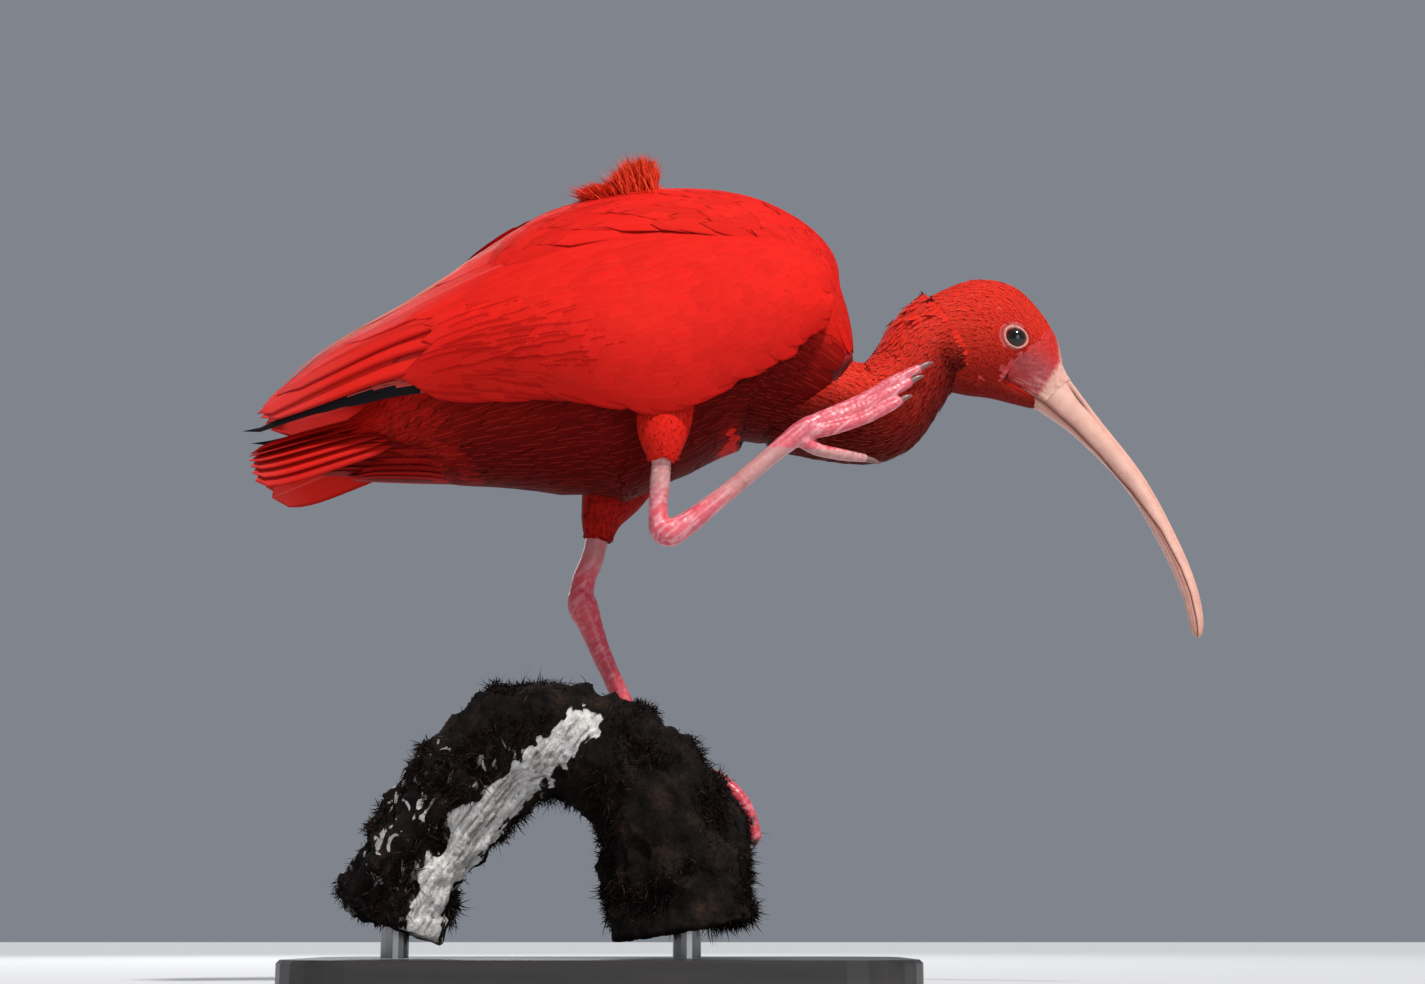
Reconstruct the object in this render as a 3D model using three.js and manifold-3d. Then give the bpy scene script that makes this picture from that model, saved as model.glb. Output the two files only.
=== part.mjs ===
import * as THREE from 'three';
import Module from 'manifold-3d';

const wasm = await Module();
wasm.setup();
const { Manifold, Mesh } = wasm;

// Driving sizes in mm. The bird is laid out around the sole of its standing foot.
const FOOT_X = 20;
const FOOT_Z = 92;
const GAP = 0.3;
const BASE_LENGTH = 270;
const BASE_WIDTH = 170;
const BASE_HEIGHT = 12;
const BASE_CORNER = 34;
const BASE_BEVEL = 1.5;
const ROD_RADIUS = 6;
const ROD_HEIGHT = 40;
const LEG_SIDE = 42;
const FAR_LEG_SIDE = 20;
const FAR_FOOT_SIDE = 16;
const EYE_RADIUS = 5.6;
const EYE_SIDE = 11.6;
const EYE_X = 166.3;
const EYE_Z = 199.3;
const LID_RADIUS = 5.1;
const LID_THICK = 1;
const LID_PROUD = 4.1;
const VANE_THICK = 0.8;
const STUB_RADIUS = 24;
const LIMB_RADIUS = 28;
const BRANCH_RADIUS = 30;
const BRANCH_X = 14;
const BRANCH_Z = -31;
const TOE_RING = BRANCH_RADIUS + 2.7;
const WING_FRONT = 80;
const WING_REAR = -182;

const v3 = (x = 0, y = 0, z = 0) => new THREE.Vector3(x, y, z);
const lerp = THREE.MathUtils.lerp;

function solid(points, faces) {
  const vertProperties = new Float32Array(points.flatMap((p) => [p.x, p.y, p.z]));
  let made = new Manifold(new Mesh({ numProp: 3, vertProperties, triVerts: new Uint32Array(faces.flat()) }));
  if (made.volume() < 0) {
    const turned = faces.map(([a, b, c]) => [a, c, b]);
    made = new Manifold(new Mesh({ numProp: 3, vertProperties, triVerts: new Uint32Array(turned.flat()) }));
  }
  return made;
}

// Rings of equal count, closed by a point at each end.
function skinRings(rings, first, last) {
  const n = rings[0].length;
  const points = rings.flat().concat([first, last]);
  const faces = [];
  for (let r = 0; r < rings.length - 1; r++) {
    for (let i = 0; i < n; i++) {
      const a = r * n + i;
      const b = r * n + ((i + 1) % n);
      faces.push([a, b, b + n], [a, b + n, a + n]);
    }
  }
  const end = (rings.length - 1) * n;
  for (let i = 0; i < n; i++) {
    const j = (i + 1) % n;
    faces.push([j, i, points.length - 2], [end + i, end + j, points.length - 1]);
  }
  return solid(points, faces);
}

function spline(rows, count) {
  const curves = rows[0].map((_, k) => rows.map((row) => row[k]));
  const out = [];
  for (let i = 0; i < count; i++) {
    const t = (i / (count - 1)) * (rows.length - 1);
    const k = Math.min(Math.floor(t), rows.length - 2);
    const f = t - k;
    out.push(curves.map((c) => {
      const p0 = c[Math.max(k - 1, 0)];
      const p3 = c[Math.min(k + 2, c.length - 1)];
      const m1 = (c[k + 1] - p0) / 2;
      const m2 = (p3 - c[k]) / 2;
      const f2 = f * f;
      const f3 = f2 * f;
      return (2 * f3 - 3 * f2 + 1) * c[k] + (f3 - 2 * f2 + f) * m1
        + (3 * f2 - 2 * f3) * c[k + 1] + (f3 - f2) * m2;
    }));
  }
  return out;
}

// A long rounded form. Each row is x, y, z, half width, height above and depth below its spine.
function body(rows, { rings = 12, sides = 12, grow = 0, across = v3(0, 1, 0), blunt = 0.35 } = {}) {
  const line = spline(rows, rings);
  const centres = line.map((r) => v3(r[0], r[1], r[2]));
  const loops = line.map((r, i) => {
    const t = centres[Math.min(i + 1, rings - 1)].clone().sub(centres[Math.max(i - 1, 0)]).normalize();
    const s = across.clone().addScaledVector(t, -across.dot(t)).normalize();
    const n = t.clone().cross(s);
    return Array.from({ length: sides }, (_, k) => {
      const a = (k / sides) * Math.PI * 2;
      const high = Math.sin(a) > 0 ? r[4] : r[5];
      return centres[i].clone()
        .addScaledVector(s, (r[3] + grow) * Math.cos(a))
        .addScaledVector(n, (high + grow) * Math.sin(a));
    });
  });
  const cap = (a, b, r) => {
    const t = centres[a].clone().sub(centres[b]).normalize();
    return centres[a].clone().addScaledVector(t, blunt * r[3] + grow);
  };
  return skinRings(loops, cap(0, 1, line[0]), cap(rings - 1, rings - 2, line[rings - 1]));
}

// A round form through points that each carry a radius and, where it is narrower across, a share of it.
function limb(points, opts = {}) {
  const rows = points.map(([x, y, z, r, share = 1]) => [x, y, z, r * share, r, r]);
  return body(rows, { sides: 8, ...opts });
}

function ball(centre, radius) {
  const g = new THREE.SphereGeometry(radius, 11, 8);
  const rows = g.parameters.heightSegments;
  const cols = g.parameters.widthSegments;
  const at = (k) => v3().fromBufferAttribute(g.attributes.position, k).add(centre);
  const rings = [];
  for (let j = 1; j < rows; j++) {
    rings.push(Array.from({ length: cols }, (_, i) => at(j * (cols + 1) + i)));
  }
  return skinRings(rings, at(0), at(rows * (cols + 1)));
}

function torus(centre, axis, major, minor, segments = 14, sides = 5) {
  const turn = new THREE.Quaternion().setFromUnitVectors(v3(0, 0, 1), axis.clone().normalize());
  const points = [];
  const faces = [];
  for (let i = 0; i < segments; i++) {
    const a = (i / segments) * Math.PI * 2;
    for (let j = 0; j < sides; j++) {
      const b = (j / sides) * Math.PI * 2;
      const r = major + minor * Math.cos(b);
      const p = v3(r * Math.cos(a), r * Math.sin(a), minor * Math.sin(b));
      points.push(p.applyQuaternion(turn).add(centre));
      const here = i * sides;
      const next = ((i + 1) % segments) * sides;
      const j2 = (j + 1) % sides;
      faces.push([here + j, next + j, next + j2], [here + j, next + j2, here + j2]);
    }
  }
  return solid(points, faces);
}

// A flat strip along a path, one width and one facing per point, narrowing to a blunt tip.
function vane(path, facings, widths, thick = VANE_THICK) {
  const rings = path.map((p, i) => {
    const t = path[Math.min(i + 1, path.length - 1)].clone().sub(path[Math.max(i - 1, 0)]).normalize();
    const s = t.clone().cross(facings[i]).normalize();
    const n = s.clone().cross(t).normalize();
    const w = widths[i] / 2;
    const h = thick / 2;
    return [[-w, -h], [-w, h], [w, h], [w, -h]].map(([a, b]) => p.clone()
      .addScaledVector(s, a)
      .addScaledVector(n, b));
  });
  const points = rings.flat();
  const faces = [];
  for (let r = 0; r < rings.length - 1; r++) {
    for (let i = 0; i < 4; i++) {
      const a = r * 4 + i;
      const b = r * 4 + ((i + 1) % 4);
      faces.push([a, b, b + 4], [a, b + 4, a + 4]);
    }
  }
  const e = (rings.length - 1) * 4;
  faces.push([2, 1, 0], [3, 2, 0], [e, e + 1, e + 2], [e, e + 2, e + 3]);
  return solid(points, faces);
}

function facingOf(surface, outward, u, v) {
  const du = surface(u + 0.02, v).sub(surface(u - 0.02, v));
  const dv = surface(u, v + 0.04).sub(surface(u, v - 0.04));
  const n = du.cross(dv).normalize();
  return n.dot(outward) < 0 ? n.negate() : n;
}

// Shares of a feather's width, from its root to its tip.
const FEATHER_OUTLINE = [0.62, 1, 0.92, 0.3];

// A feather that follows a surface from one place on it to another. Slope lifts one edge over its neighbour.
function laidVane(surface, outward, from, to, width, lift, { slope = 0, sink = 2, grow = 0 } = {}) {
  const rings = FEATHER_OUTLINE.map((share, i) => {
    const f = i / (FEATHER_OUTLINE.length - 1);
    const u = lerp(from[0], to[0], f);
    const v = lerp(from[1], to[1], f);
    const n = facingOf(surface, outward, u, v);
    const stretch = surface(u, v + 0.05).distanceTo(surface(u, v - 0.05)) / 0.1;
    const height = lift - (lift + sink) * (1 - f) ** 3;
    const columns = [-1, 0, 1].map((k) => {
      const aside = k * (share * width / 2 + grow);
      return surface(u, v + aside / stretch).addScaledVector(n, height + aside * slope);
    });
    const half = VANE_THICK / 2 + grow;
    const top = columns.map((p) => p.clone().addScaledVector(n, half));
    const low = columns.map((p) => p.clone().addScaledVector(n, -half));
    return [...top, ...low.reverse()];
  });
  const points = rings.flat();
  const faces = [];
  for (let r = 0; r < rings.length - 1; r++) {
    for (let i = 0; i < 6; i++) {
      const a = r * 6 + i;
      const b = r * 6 + ((i + 1) % 6);
      faces.push([a, b, b + 6], [a, b + 6, a + 6]);
    }
  }
  const e = (rings.length - 1) * 6;
  for (const [a, b, c] of [[0, 1, 4], [0, 4, 5], [1, 2, 3], [1, 3, 4]]) {
    faces.push([c, b, a], [e + a, e + b, e + c]);
  }
  return solid(points, faces);
}

const cutAll = (shape, cutters) => cutters.reduce((a, b) => a.subtract(b), shape);

function largest(made) {
  return made.decompose().reduce((a, b) => (a.volume() > b.volume() ? a : b));
}

function split(made, point, normal) {
  const n = normal.clone().normalize();
  const d = n.dot(point);
  return [
    largest(made.trimByPlane([n.x, n.y, n.z], d + GAP / 2)),
    largest(made.trimByPlane([-n.x, -n.y, -n.z], -d + GAP / 2)),
  ];
}

// trunk, neck and head
const TORSO = [
  [-150, 0, 149, 7, 7, 9],
  [-128, 0, 156, 16, 14, 22],
  [-105, 0, 168, 26, 26, 39],
  [-70, 0, 187, 37, 44, 64],
  [-32, 0, 203, 44, 61, 79],
  [15, 0, 207, 46, 66, 68],
  [50, 0, 203, 43, 59, 54],
  [69, 0, 195, 36, 36, 46],
  [88, 0, 184, 26, 10, 37],
];
const NECK = [
  [60, 0, 178, 24, 18, 28],
  [84, 0, 170, 24, 21, 25],
  [103, 0, 169, 23, 21, 23.5],
  [117, 0, 181, 20, 20, 19],
  [127, 0, 196, 19, 21, 19],
  [138, 0, 204, 17.5, 24, 26],
];
const HEAD = [
  [130, 0, 203, 16, 19, 20],
  [150, 0, 204, 17, 26.5, 27],
  [163, 0, 201, 16, 25, 24.5],
  [174, 0, 195, 13.5, 16, 22],
  [181, 0, 183, 9.5, 9.8, 12],
];
const BILL = [
  [168, 0, 197, 9, 10, 11],
  [181, 0, 181.5, 8, 10.6, 11],
  [199.4, 0, 160.9, 5.8, 7.2, 7.2],
  [221.4, 0, 133.7, 4.4, 5.1, 5.1],
  [236.3, 0, 104.9, 3.7, 4.3, 4.3],
  [243.5, 0, 86, 3.3, 3.9, 3.9],
  [246.4, 0, 72.6, 2.9, 3.5, 3.5],
  [247, 0, 65, 2.2, 2.5, 2.5],
];
const torsoGrown = body(TORSO, { rings: 16, sides: 14, grow: GAP });
const trunk = body(TORSO, { rings: 16, sides: 14 })
  .add(body(NECK, { rings: 11, sides: 14 }))
  .add(body(HEAD, { rings: 9, sides: 14, blunt: 0.1 }));

// The mouth is a thin curved sheet that parts the mandibles and runs on into the cheeks.
const MOUTH_GAP = 0.4;
const MOUTH_WIDTH = 52;
const MOUTH = [
  [158, 181.2], [164, 179.4], [172, 175.6], [180, 170.4], [193, 159.2], [205, 146.6],
  [219, 129.6], [231.5, 111], [240, 93.5], [243.9, 82], [246.2, 70], [247.4, 56],
];
function mouthSheet() {
  const path = MOUTH.map(([x, z]) => v3(x, 0, z));
  const facings = path.map((_, i) => {
    const t = path[Math.min(i + 1, path.length - 1)].clone().sub(path[Math.max(i - 1, 0)]);
    return v3(-t.z, 0, t.x);
  });
  return vane(path, facings, path.map(() => MOUTH_WIDTH), MOUTH_GAP);
}
const bill = body(BILL, { rings: 15, sides: 10, blunt: 0.8 });
const billFoot = v3(180.6, 0, 181);
const billWay = v3(0.62, 0, -0.78);
const [, skull] = split(trunk.add(bill), billFoot, billWay);
const [beak] = split(bill, billFoot, billWay);
const byHeight = (a, b) => b.boundingBox().max[2] - a.boundingBox().max[2];
const byVolume = (a, b) => b.volume() - a.volume();
const beakParts = beak.subtract(mouthSheet()).decompose().sort(byVolume);
const [upperBill, lowerBill] = beakParts.slice(0, 2).sort(byHeight);
const nostrils = [-1, 1].map((side) => limb([
  [189, side * 6.6, 178.5, 0.5], [194, side * 6.3, 172.5, 0.9], [199, side * 5.4, 166.5, 0.5],
], { rings: 5, sides: 6 }));
const TORSO_END = 98;
const TAIL_START = -108;
const [front, rear] = split(skull, v3(TORSO_END, 0, 180), v3(1, 0, 0));
const [upperPart, neckLower] = split(front, v3(116, 0, 180.5), v3(0.57, 0, 0.82));
const [headWhole, neckUpper] = split(upperPart, v3(138, 0, 204), v3(0.95, 0, 0.3));
const [torsoWhole, tailCore] = split(rear, v3(TAIL_START, 0, 168), v3(1, 0, 0));

const eyes = {};
let head = headWhole;
for (const [name, side] of [['right', -1], ['left', 1]]) {
  const gape = limb([
    [159, side * 12.6, 181.6, 0.5], [166, side * 11, 178.6, 1.1],
    [173, side * 9, 175.2, 1.1], [181, side * 6.6, 169.8, 1],
  ], { rings: 6, sides: 5 });
  const eye = v3(EYE_X, side * EYE_SIDE, EYE_Z);
  const lid = v3(EYE_X + 0.5, side * (EYE_SIDE + LID_PROUD), EYE_Z);
  eyes[name] = ball(eye, EYE_RADIUS);
  head = head
    .subtract(gape)
    .add(torus(lid, v3(0.13, side, 0.04), LID_RADIUS, LID_THICK))
    .subtract(ball(eye, EYE_RADIUS + GAP));
}

// wings
// Front to rear: x, then y and z of the upper edge, the widest line and the lower edge.
const WING = [
  [WING_FRONT, 30, 226, 37, 214, 38, 203],
  [62, 27, 243, 48, 217, 48, 186],
  [40, 25, 252, 53, 214, 51, 173],
  [10, 21, 259, 56, 209, 53, 159],
  [-20, 17, 260, 56, 207, 53, 161],
  [-50, 13, 253.5, 51, 205, 48, 168],
  [-80, 9, 237.5, 43, 201, 42, 169],
  [-115, 6, 215, 32, 193, 35, 168],
  [-150, 5, 194, 21, 179, 24, 160],
  [WING_REAR, 5, 166, 9, 162, 14, 153],
];
const wingLines = spline(WING, 41);
function wingPoint(side, u, v) {
  const t = THREE.MathUtils.clamp(u, 0, 1) * 40;
  const k = Math.min(Math.floor(t), 39);
  const r = wingLines[k].map((a, i) => lerp(a, wingLines[k + 1][i], t - k));
  const a = (1 - v) * (1 - v);
  const b = 2 * v * (1 - v);
  const c = v * v;
  const midY = 2 * r[3] - (r[1] + r[5]) / 2;
  const midZ = 2 * r[4] - (r[2] + r[6]) / 2;
  const x = r[0] - (u - THREE.MathUtils.clamp(u, 0, 1)) * (WING_FRONT - WING_REAR);
  return v3(x, side * (a * r[1] + b * midY + c * r[5]), a * r[2] + b * midZ + c * r[6]);
}
function wingFacing(side, u, v) {
  return facingOf((p, q) => wingPoint(side, p, q), v3(0, side, 0.2), u, v);
}
const WING_CORE_END = 0.62;
const WING_CORE_DEPTH = 12;
function wingCore(side) {
  const across = 6;
  const along = 10;
  const rows = [];
  for (let i = 0; i <= along; i++) {
    const u = (i / along) * WING_CORE_END;
    const taper = Math.min(1, i / 1.5) * (1 - THREE.MathUtils.smoothstep(u, 0.5, 0.64) * 0.82);
    const outer = [];
    const inner = [];
    for (let j = 0; j <= across; j++) {
      const v = j / across;
      const edge = 0.45 + 0.55 * Math.sin(Math.PI * v);
      const p = wingPoint(side, u, v);
      const n = wingFacing(side, u, v);
      outer.push(p);
      inner.push(p.clone().addScaledVector(n, -1 - WING_CORE_DEPTH * taper * edge));
    }
    rows.push(outer.concat(inner.reverse()));
  }
  const mean = (ring) => ring.reduce((a, b) => a.add(b), v3(0, 0, 0)).multiplyScalar(1 / ring.length);
  return skinRings(rows, mean(rows[0]), mean(rows[rows.length - 1]));
}
// Rows of feathers: the places on the wing where the first and the last of a row start and end.
const SECONDARIES = {
  count: 3, width: 20, lift: 1.6,
  from: [0.44, 0.66], fromEnd: [0.46, 0.92], to: [0.80, 0.72], toEnd: [0.62, 0.96],
};
const TERTIALS = {
  count: 5, width: 22, lift: 2.9,
  from: [0.36, 0.08], fromEnd: [0.42, 0.62], to: [0.985, 0.14], toEnd: [0.93, 0.82],
};
const GREATER_COVERTS = {
  count: 4, width: 34, lift: 4.2,
  from: [0.22, 0.14], fromEnd: [0.24, 0.88], to: [0.60, 0.16], toEnd: [0.50, 0.92],
};
const MEDIAN_COVERTS = {
  count: 4, width: 34, lift: 4.6,
  from: [0.08, 0.13], fromEnd: [0.10, 0.86], to: [0.38, 0.13], toEnd: [0.335, 0.90],
};
const LESSER_COVERTS = {
  count: 3, width: 30, lift: 3,
  from: [0.0, 0.20], fromEnd: [0.01, 0.80], to: [0.19, 0.18], toEnd: [0.16, 0.84],
};
const PRIMARIES = 3;
const PRIMARY_WIDTH = 11;
const FEATHER_SLOPE = 0.08;
const lerpPlace = (a, b, f) => [lerp(a[0], b[0], f), lerp(a[1], b[1], f)];
function wing(side, cutters) {
  let whole = wingCore(side);
  const surface = (u, v) => wingPoint(side, u, v);
  const outward = v3(0, side, 0.2);
  for (let i = 0; i < PRIMARIES; i++) {
    const from = [0.5, 0.9 + i * 0.024];
    const to = [0.985 - 0.1 * i, 0.84 + 0.055 * i];
    whole = whole.add(laidVane(surface, outward, from, to, PRIMARY_WIDTH, 0.1 - 1.6 * i, { sink: 1 }));
  }
  for (const tier of [SECONDARIES, TERTIALS, GREATER_COVERTS, MEDIAN_COVERTS, LESSER_COVERTS]) {
    for (let i = 0; i < tier.count; i++) {
      const f = i / (tier.count - 1);
      const from = lerpPlace(tier.from, tier.fromEnd, f);
      const to = lerpPlace(tier.to, tier.toEnd, f);
      const feather = laidVane(surface, outward, from, to, tier.width, tier.lift, { slope: FEATHER_SLOPE });
      whole = whole.add(feather);
    }
  }
  return largest(cutAll(whole, cutters).trimByPlane([0, side, 0], GAP));
}

// back
// Feathers rise along the middle of the back, the tallest near its top where the wind lifts a tuft.
const MANTLE_WIDTH = 26;
const MANTLE_ROWS = [
  { x: 62, count: 3, spread: 0.56, length: 44, lift: 1.2 },
  { x: 30, count: 3, spread: 0.56, length: 50, lift: 1.6 },
  { x: -8, count: 3, spread: 0.5, length: 54, lift: 1.6 },
];
// Each tuft feather: x and y of its root, then how far back it leans, its rise and its width.
const TUFT = [
  [-20, -6, 12, 7, 12], [-15, 4, 11, 9, 12], [-8, -5, 8, 14, 11],
  [-4, 4, 6, 18, 11], [1, -2, 6, 18, 10], [4, 3, 5, 12, 10],
];
const TUFT_SINK = 3;
const TORSO_HALF = 46;
const torsoLines = spline(TORSO, 61);
function backPoint(x, turn) {
  const k = Math.max(1, torsoLines.findIndex((r) => r[0] >= x));
  const f = (x - torsoLines[k - 1][0]) / (torsoLines[k][0] - torsoLines[k - 1][0]);
  const r = torsoLines[k].map((b, i) => lerp(torsoLines[k - 1][i], b, f));
  return v3(x, r[3] * Math.sin(turn), r[2] + r[4] * Math.cos(turn));
}
function mantle(grow = 0) {
  const out = [];
  const surface = (u, v) => backPoint(-u * 100, v);
  for (const row of MANTLE_ROWS) {
    for (let i = 0; i < row.count; i++) {
      const turn = ((i + 0.5) / row.count * 2 - 1) * row.spread;
      const from = [-row.x / 100, turn];
      const to = [(row.length - row.x) / 100, turn * 0.9];
      const slope = turn > 0 ? -FEATHER_SLOPE : FEATHER_SLOPE;
      out.push(laidVane(surface, v3(0, 0, 1), from, to, MANTLE_WIDTH, row.lift, { slope, grow }));
    }
  }
  for (const [x, y, lean, rise, width] of TUFT) {
    const z = backPoint(x, y / TORSO_HALF).z - TUFT_SINK;
    const height = rise + TUFT_SINK;
    const path = [0, 0.35, 0.7, 1].map((f) => v3(x - lean * f, y * (1 + 0.3 * f), z + height * f ** 0.8));
    const facing = v3(rise, 0, lean).normalize();
    const widths = [width, width, width * 0.8, width * 0.25].map((w) => w + 2 * grow);
    out.push(vane(path, path.map(() => facing), widths, VANE_THICK + 2 * grow));
  }
  return out;
}

// tail
const RECTRICES = 12;
function tailVanes() {
  const out = [];
  for (let i = 0; i < RECTRICES; i++) {
    const s = (i - (RECTRICES - 1) / 2) / ((RECTRICES - 1) / 2);
    const a = Math.abs(s);
    const root = v3(-112, s * 11, 165 - 8 * a * a);
    const tip = v3(-187 + 12 * a * a, s * 21, 148 - 15 * a ** 1.6);
    const facing = v3(0.25, s * 0.9, 1).normalize();
    const path = [0, 0.4, 0.82, 1].map((f) => root.clone().lerp(tip, f)
      .addScaledVector(facing, 6.6 * (1 - a) + (i === RECTRICES / 2 ? 1.1 : 0) - 3 * f * f));
    out.push(vane(path, path.map(() => facing), [9, 14, 14, 5]));
  }
  return out;
}
const UNDER_TAIL_THICK = 1.6;
function underTail() {
  const out = [];
  for (const s of [-0.9, 0, 0.9]) {
    const path = [0, 0.4, 0.8, 1].map((f) => v3(
      -104 - 62 * f + 6 * Math.abs(s) * f,
      s * lerp(14, 9, f),
      136.5 + 7 * s * s + 1.5 * f,
    ));
    const facing = v3(0, s * 0.6, -1).normalize();
    out.push(vane(path, path.map(() => facing), [14, 18, 15, 5], UNDER_TAIL_THICK));
  }
  return out;
}

// legs
const SHIN = [
  [8, -27, 176, 14, 1], [6, -36, 158, 11.5, 1], [5, -41, 144, 8.5, 1], [5, -LEG_SIDE, 134.5, 5.2, 1],
];
const SHANK = [
  [4.6, -LEG_SIDE, 137, 4.4], [3.8, -LEG_SIDE, 126, 4.6],
  [3, -LEG_SIDE, 114.5, 4.3], [3.6, -LEG_SIDE, 105.5, 5],
];
const TARSUS = [
  [3.2, -LEG_SIDE, 106, 5.4], [7.2, -LEG_SIDE, 102.9, 6.3],
  [14.6, -41.2, 106.4, 5.5], [26, -39.8, 115.4, 4.5],
  [42, -37.5, 129.2, 4.1], [57, -35.4, 142.4, 4.4], [67, -34, 150.8, 4.9], [72, -33.4, 154, 3.8],
];
const FAR_SHIN = [
  [-12, 22, 150, 17, 0.85], [-20, 22, 134, 13.5, 0.85], [-25, 22, 122, 8.5, 1], [-26.5, 22, 112, 5.2, 1],
];
const FAR_SHANK = [
  [-26, 22, 115, 4.6], [-29, 21.5, 103, 4.6], [-33, 21, 92, 4.8], [-34.5, FAR_LEG_SIDE, 85, 5.4],
];
const FAR_TARSUS = [
  [-34.5, FAR_LEG_SIDE, 84, 5.8], [-33, FAR_LEG_SIDE, 78.5, 6.4], [-29.5, FAR_LEG_SIDE, 70, 5],
  [-24, 19, 56, 4], [-14, 18, 34.5, 3.7], [-4, 16.6, 13, 4], [0.5, 16, 4.5, 5.2], [2, 16, 1, 4],
];
const TOES = {
  right_middle: [
    [68, -34, 152.5, 3.9], [80, -32, 158.8, 3.3], [94, -30, 166, 2.9],
    [108, -27.6, 174.4, 3], [121, -25.2, 182, 2.2],
  ],
  right_inner: [
    [68, -34, 151.5, 3.6], [80, -33, 156, 3], [96, -31, 163, 2.7],
    [108, -28.6, 169.8, 2.7], [117, -27, 175.4, 2],
  ],
  right_outer: [
    [68, -34.4, 150, 3.6], [80, -34.6, 151.5, 3], [94, -33.4, 156, 2.7],
    [106, -31, 162.4, 2.6], [112, -29.6, 166, 2],
  ],
  right_hind: [
    [66, -34, 147, 3.6], [74, -32.6, 142.5, 3], [86, -30, 140.4, 2.7], [96, -27.6, 139.4, 2],
  ],
};
const CLAWS = {
  right_middle: [[119.5, -25.4, 181.2, 2], [126, -24.2, 185, 1.4], [130.3, -23.8, 186.4, 0.5]],
  right_inner: [[115.6, -27.2, 174.6, 1.8], [121.6, -26.4, 178.2, 1.3], [125.6, -26, 179.4, 0.5]],
  right_outer: [[110.6, -29.8, 165.2, 1.8], [116, -29, 168.4, 1.3], [119.6, -28.6, 169.4, 0.5]],
  right_hind: [[94.5, -27.8, 139.4, 1.9], [101, -26.4, 138.4, 1.4], [105.4, -25.8, 136.4, 0.5]],
};
function ringPoint(angle, y, r, out = 0) {
  const a = THREE.MathUtils.degToRad(angle);
  return [BRANCH_X + (TOE_RING + out) * Math.cos(a), y, BRANCH_Z + (TOE_RING + out) * Math.sin(a), r];
}
const TOE_ROOT_RADIUS = 3.5;
function wrappedToe(fromAngle, toAngle, yEnd) {
  return Array.from({ length: 6 }, (_, i) => {
    const f = i / 5;
    const y = lerp(FAR_FOOT_SIDE, yEnd, Math.sin(f * Math.PI / 2));
    return ringPoint(lerp(fromAngle, toAngle, f), y, TOE_ROOT_RADIUS * (1 - 0.34 * f), 1.2 * (1 - f));
  });
}
const CLAW_RADII = [1.9, 1.4, 0.5];
const CLAW_RISE = [0, 0.4, -1];
function wrappedClaw(angle, step, y, way) {
  return CLAW_RADII.map((r, i) => ringPoint(angle + step * (i * 0.9 - 0.35), y + way * i, r, CLAW_RISE[i]));
}
// The standing foot's toes: angles round the branch, the tip's y, and the claw's step round and across.
const FAR = {
  middle: [108, 6, 16, -8, 0],
  inner: [108, 22, 2, -8, -0.6],
  outer: [108, 26, 31, -8, 0.6],
  hind: [114, 160, 18, 8, 0],
};
for (const [name, [from, to, y, step, way]] of Object.entries(FAR)) {
  TOES[`left_${name}`] = wrappedToe(from, to, y);
  CLAWS[`left_${name}`] = wrappedClaw(to, step, y, way);
}

// perch
const PERCH = {
  stub: [
    [-26, -36, 12, 26], [-58, -36, 12, STUB_RADIUS], [-82, -36, -10, 25],
    [-99, -36, -36, 24], [-111, -37, -66, 25],
  ],
  limb: [
    [-50, -36, 14, 22], [-26, -36, 9, 26], [-3, -35, -8, LIMB_RADIUS],
    [11, -34, -38, 31], [16, -34, -68, 32],
  ],
  branch: [
    [BRANCH_X, -34, BRANCH_Z - 2, 29], [BRANCH_X, -5, BRANCH_Z, BRANCH_RADIUS],
    [BRANCH_X, FAR_FOOT_SIDE, BRANCH_Z, BRANCH_RADIUS], [BRANCH_X, 34, BRANCH_Z, BRANCH_RADIUS],
    [BRANCH_X + 1, 66, BRANCH_Z - 1, 28],
  ],
};
const ACROSS_ARMS = v3(0, 1, 0);
const ACROSS_BRANCH = v3(1, 0, 0);
function bark(rows, across, grow = 0) {
  return limb(rows, { rings: 9, sides: 14, grow, across, blunt: 0.02 });
}
const arms = bark(PERCH.stub, ACROSS_ARMS).add(bark(PERCH.limb, ACROSS_ARMS));
const [limbArm, stubArm] = split(arms, v3(-38, 0, 0), v3(1, 0, 0.1));

// gathering
const root = new THREE.Group();
root.name = 'scarlet_ibis';
const made = new Map();
function keep(name, shape) {
  made.set(name, shape);
  return shape;
}
const thighRight = limb(SHIN, { rings: 7, sides: 12 }).subtract(torsoGrown);
const thighRightGrown = limb(SHIN, { rings: 7, sides: 12, grow: GAP });
const thighLeft = limb(FAR_SHIN, { rings: 7, sides: 12 }).subtract(torsoGrown);
const thighLeftGrown = limb(FAR_SHIN, { rings: 7, sides: 12, grow: GAP });
const shankRightGrown = limb(SHANK, { rings: 7, grow: GAP });
const shankLeftGrown = limb(FAR_SHANK, { rings: 7, grow: GAP });
const tarsusRight = limb(TARSUS, { rings: 12, sides: 8 });
const tarsusRightGrown = limb(TARSUS, { rings: 12, sides: 8, grow: GAP });
const tarsusLeft = limb(FAR_TARSUS, { rings: 12, sides: 8 });
const tarsusLeftGrown = limb(FAR_TARSUS, { rings: 12, sides: 8, grow: GAP });

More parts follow.
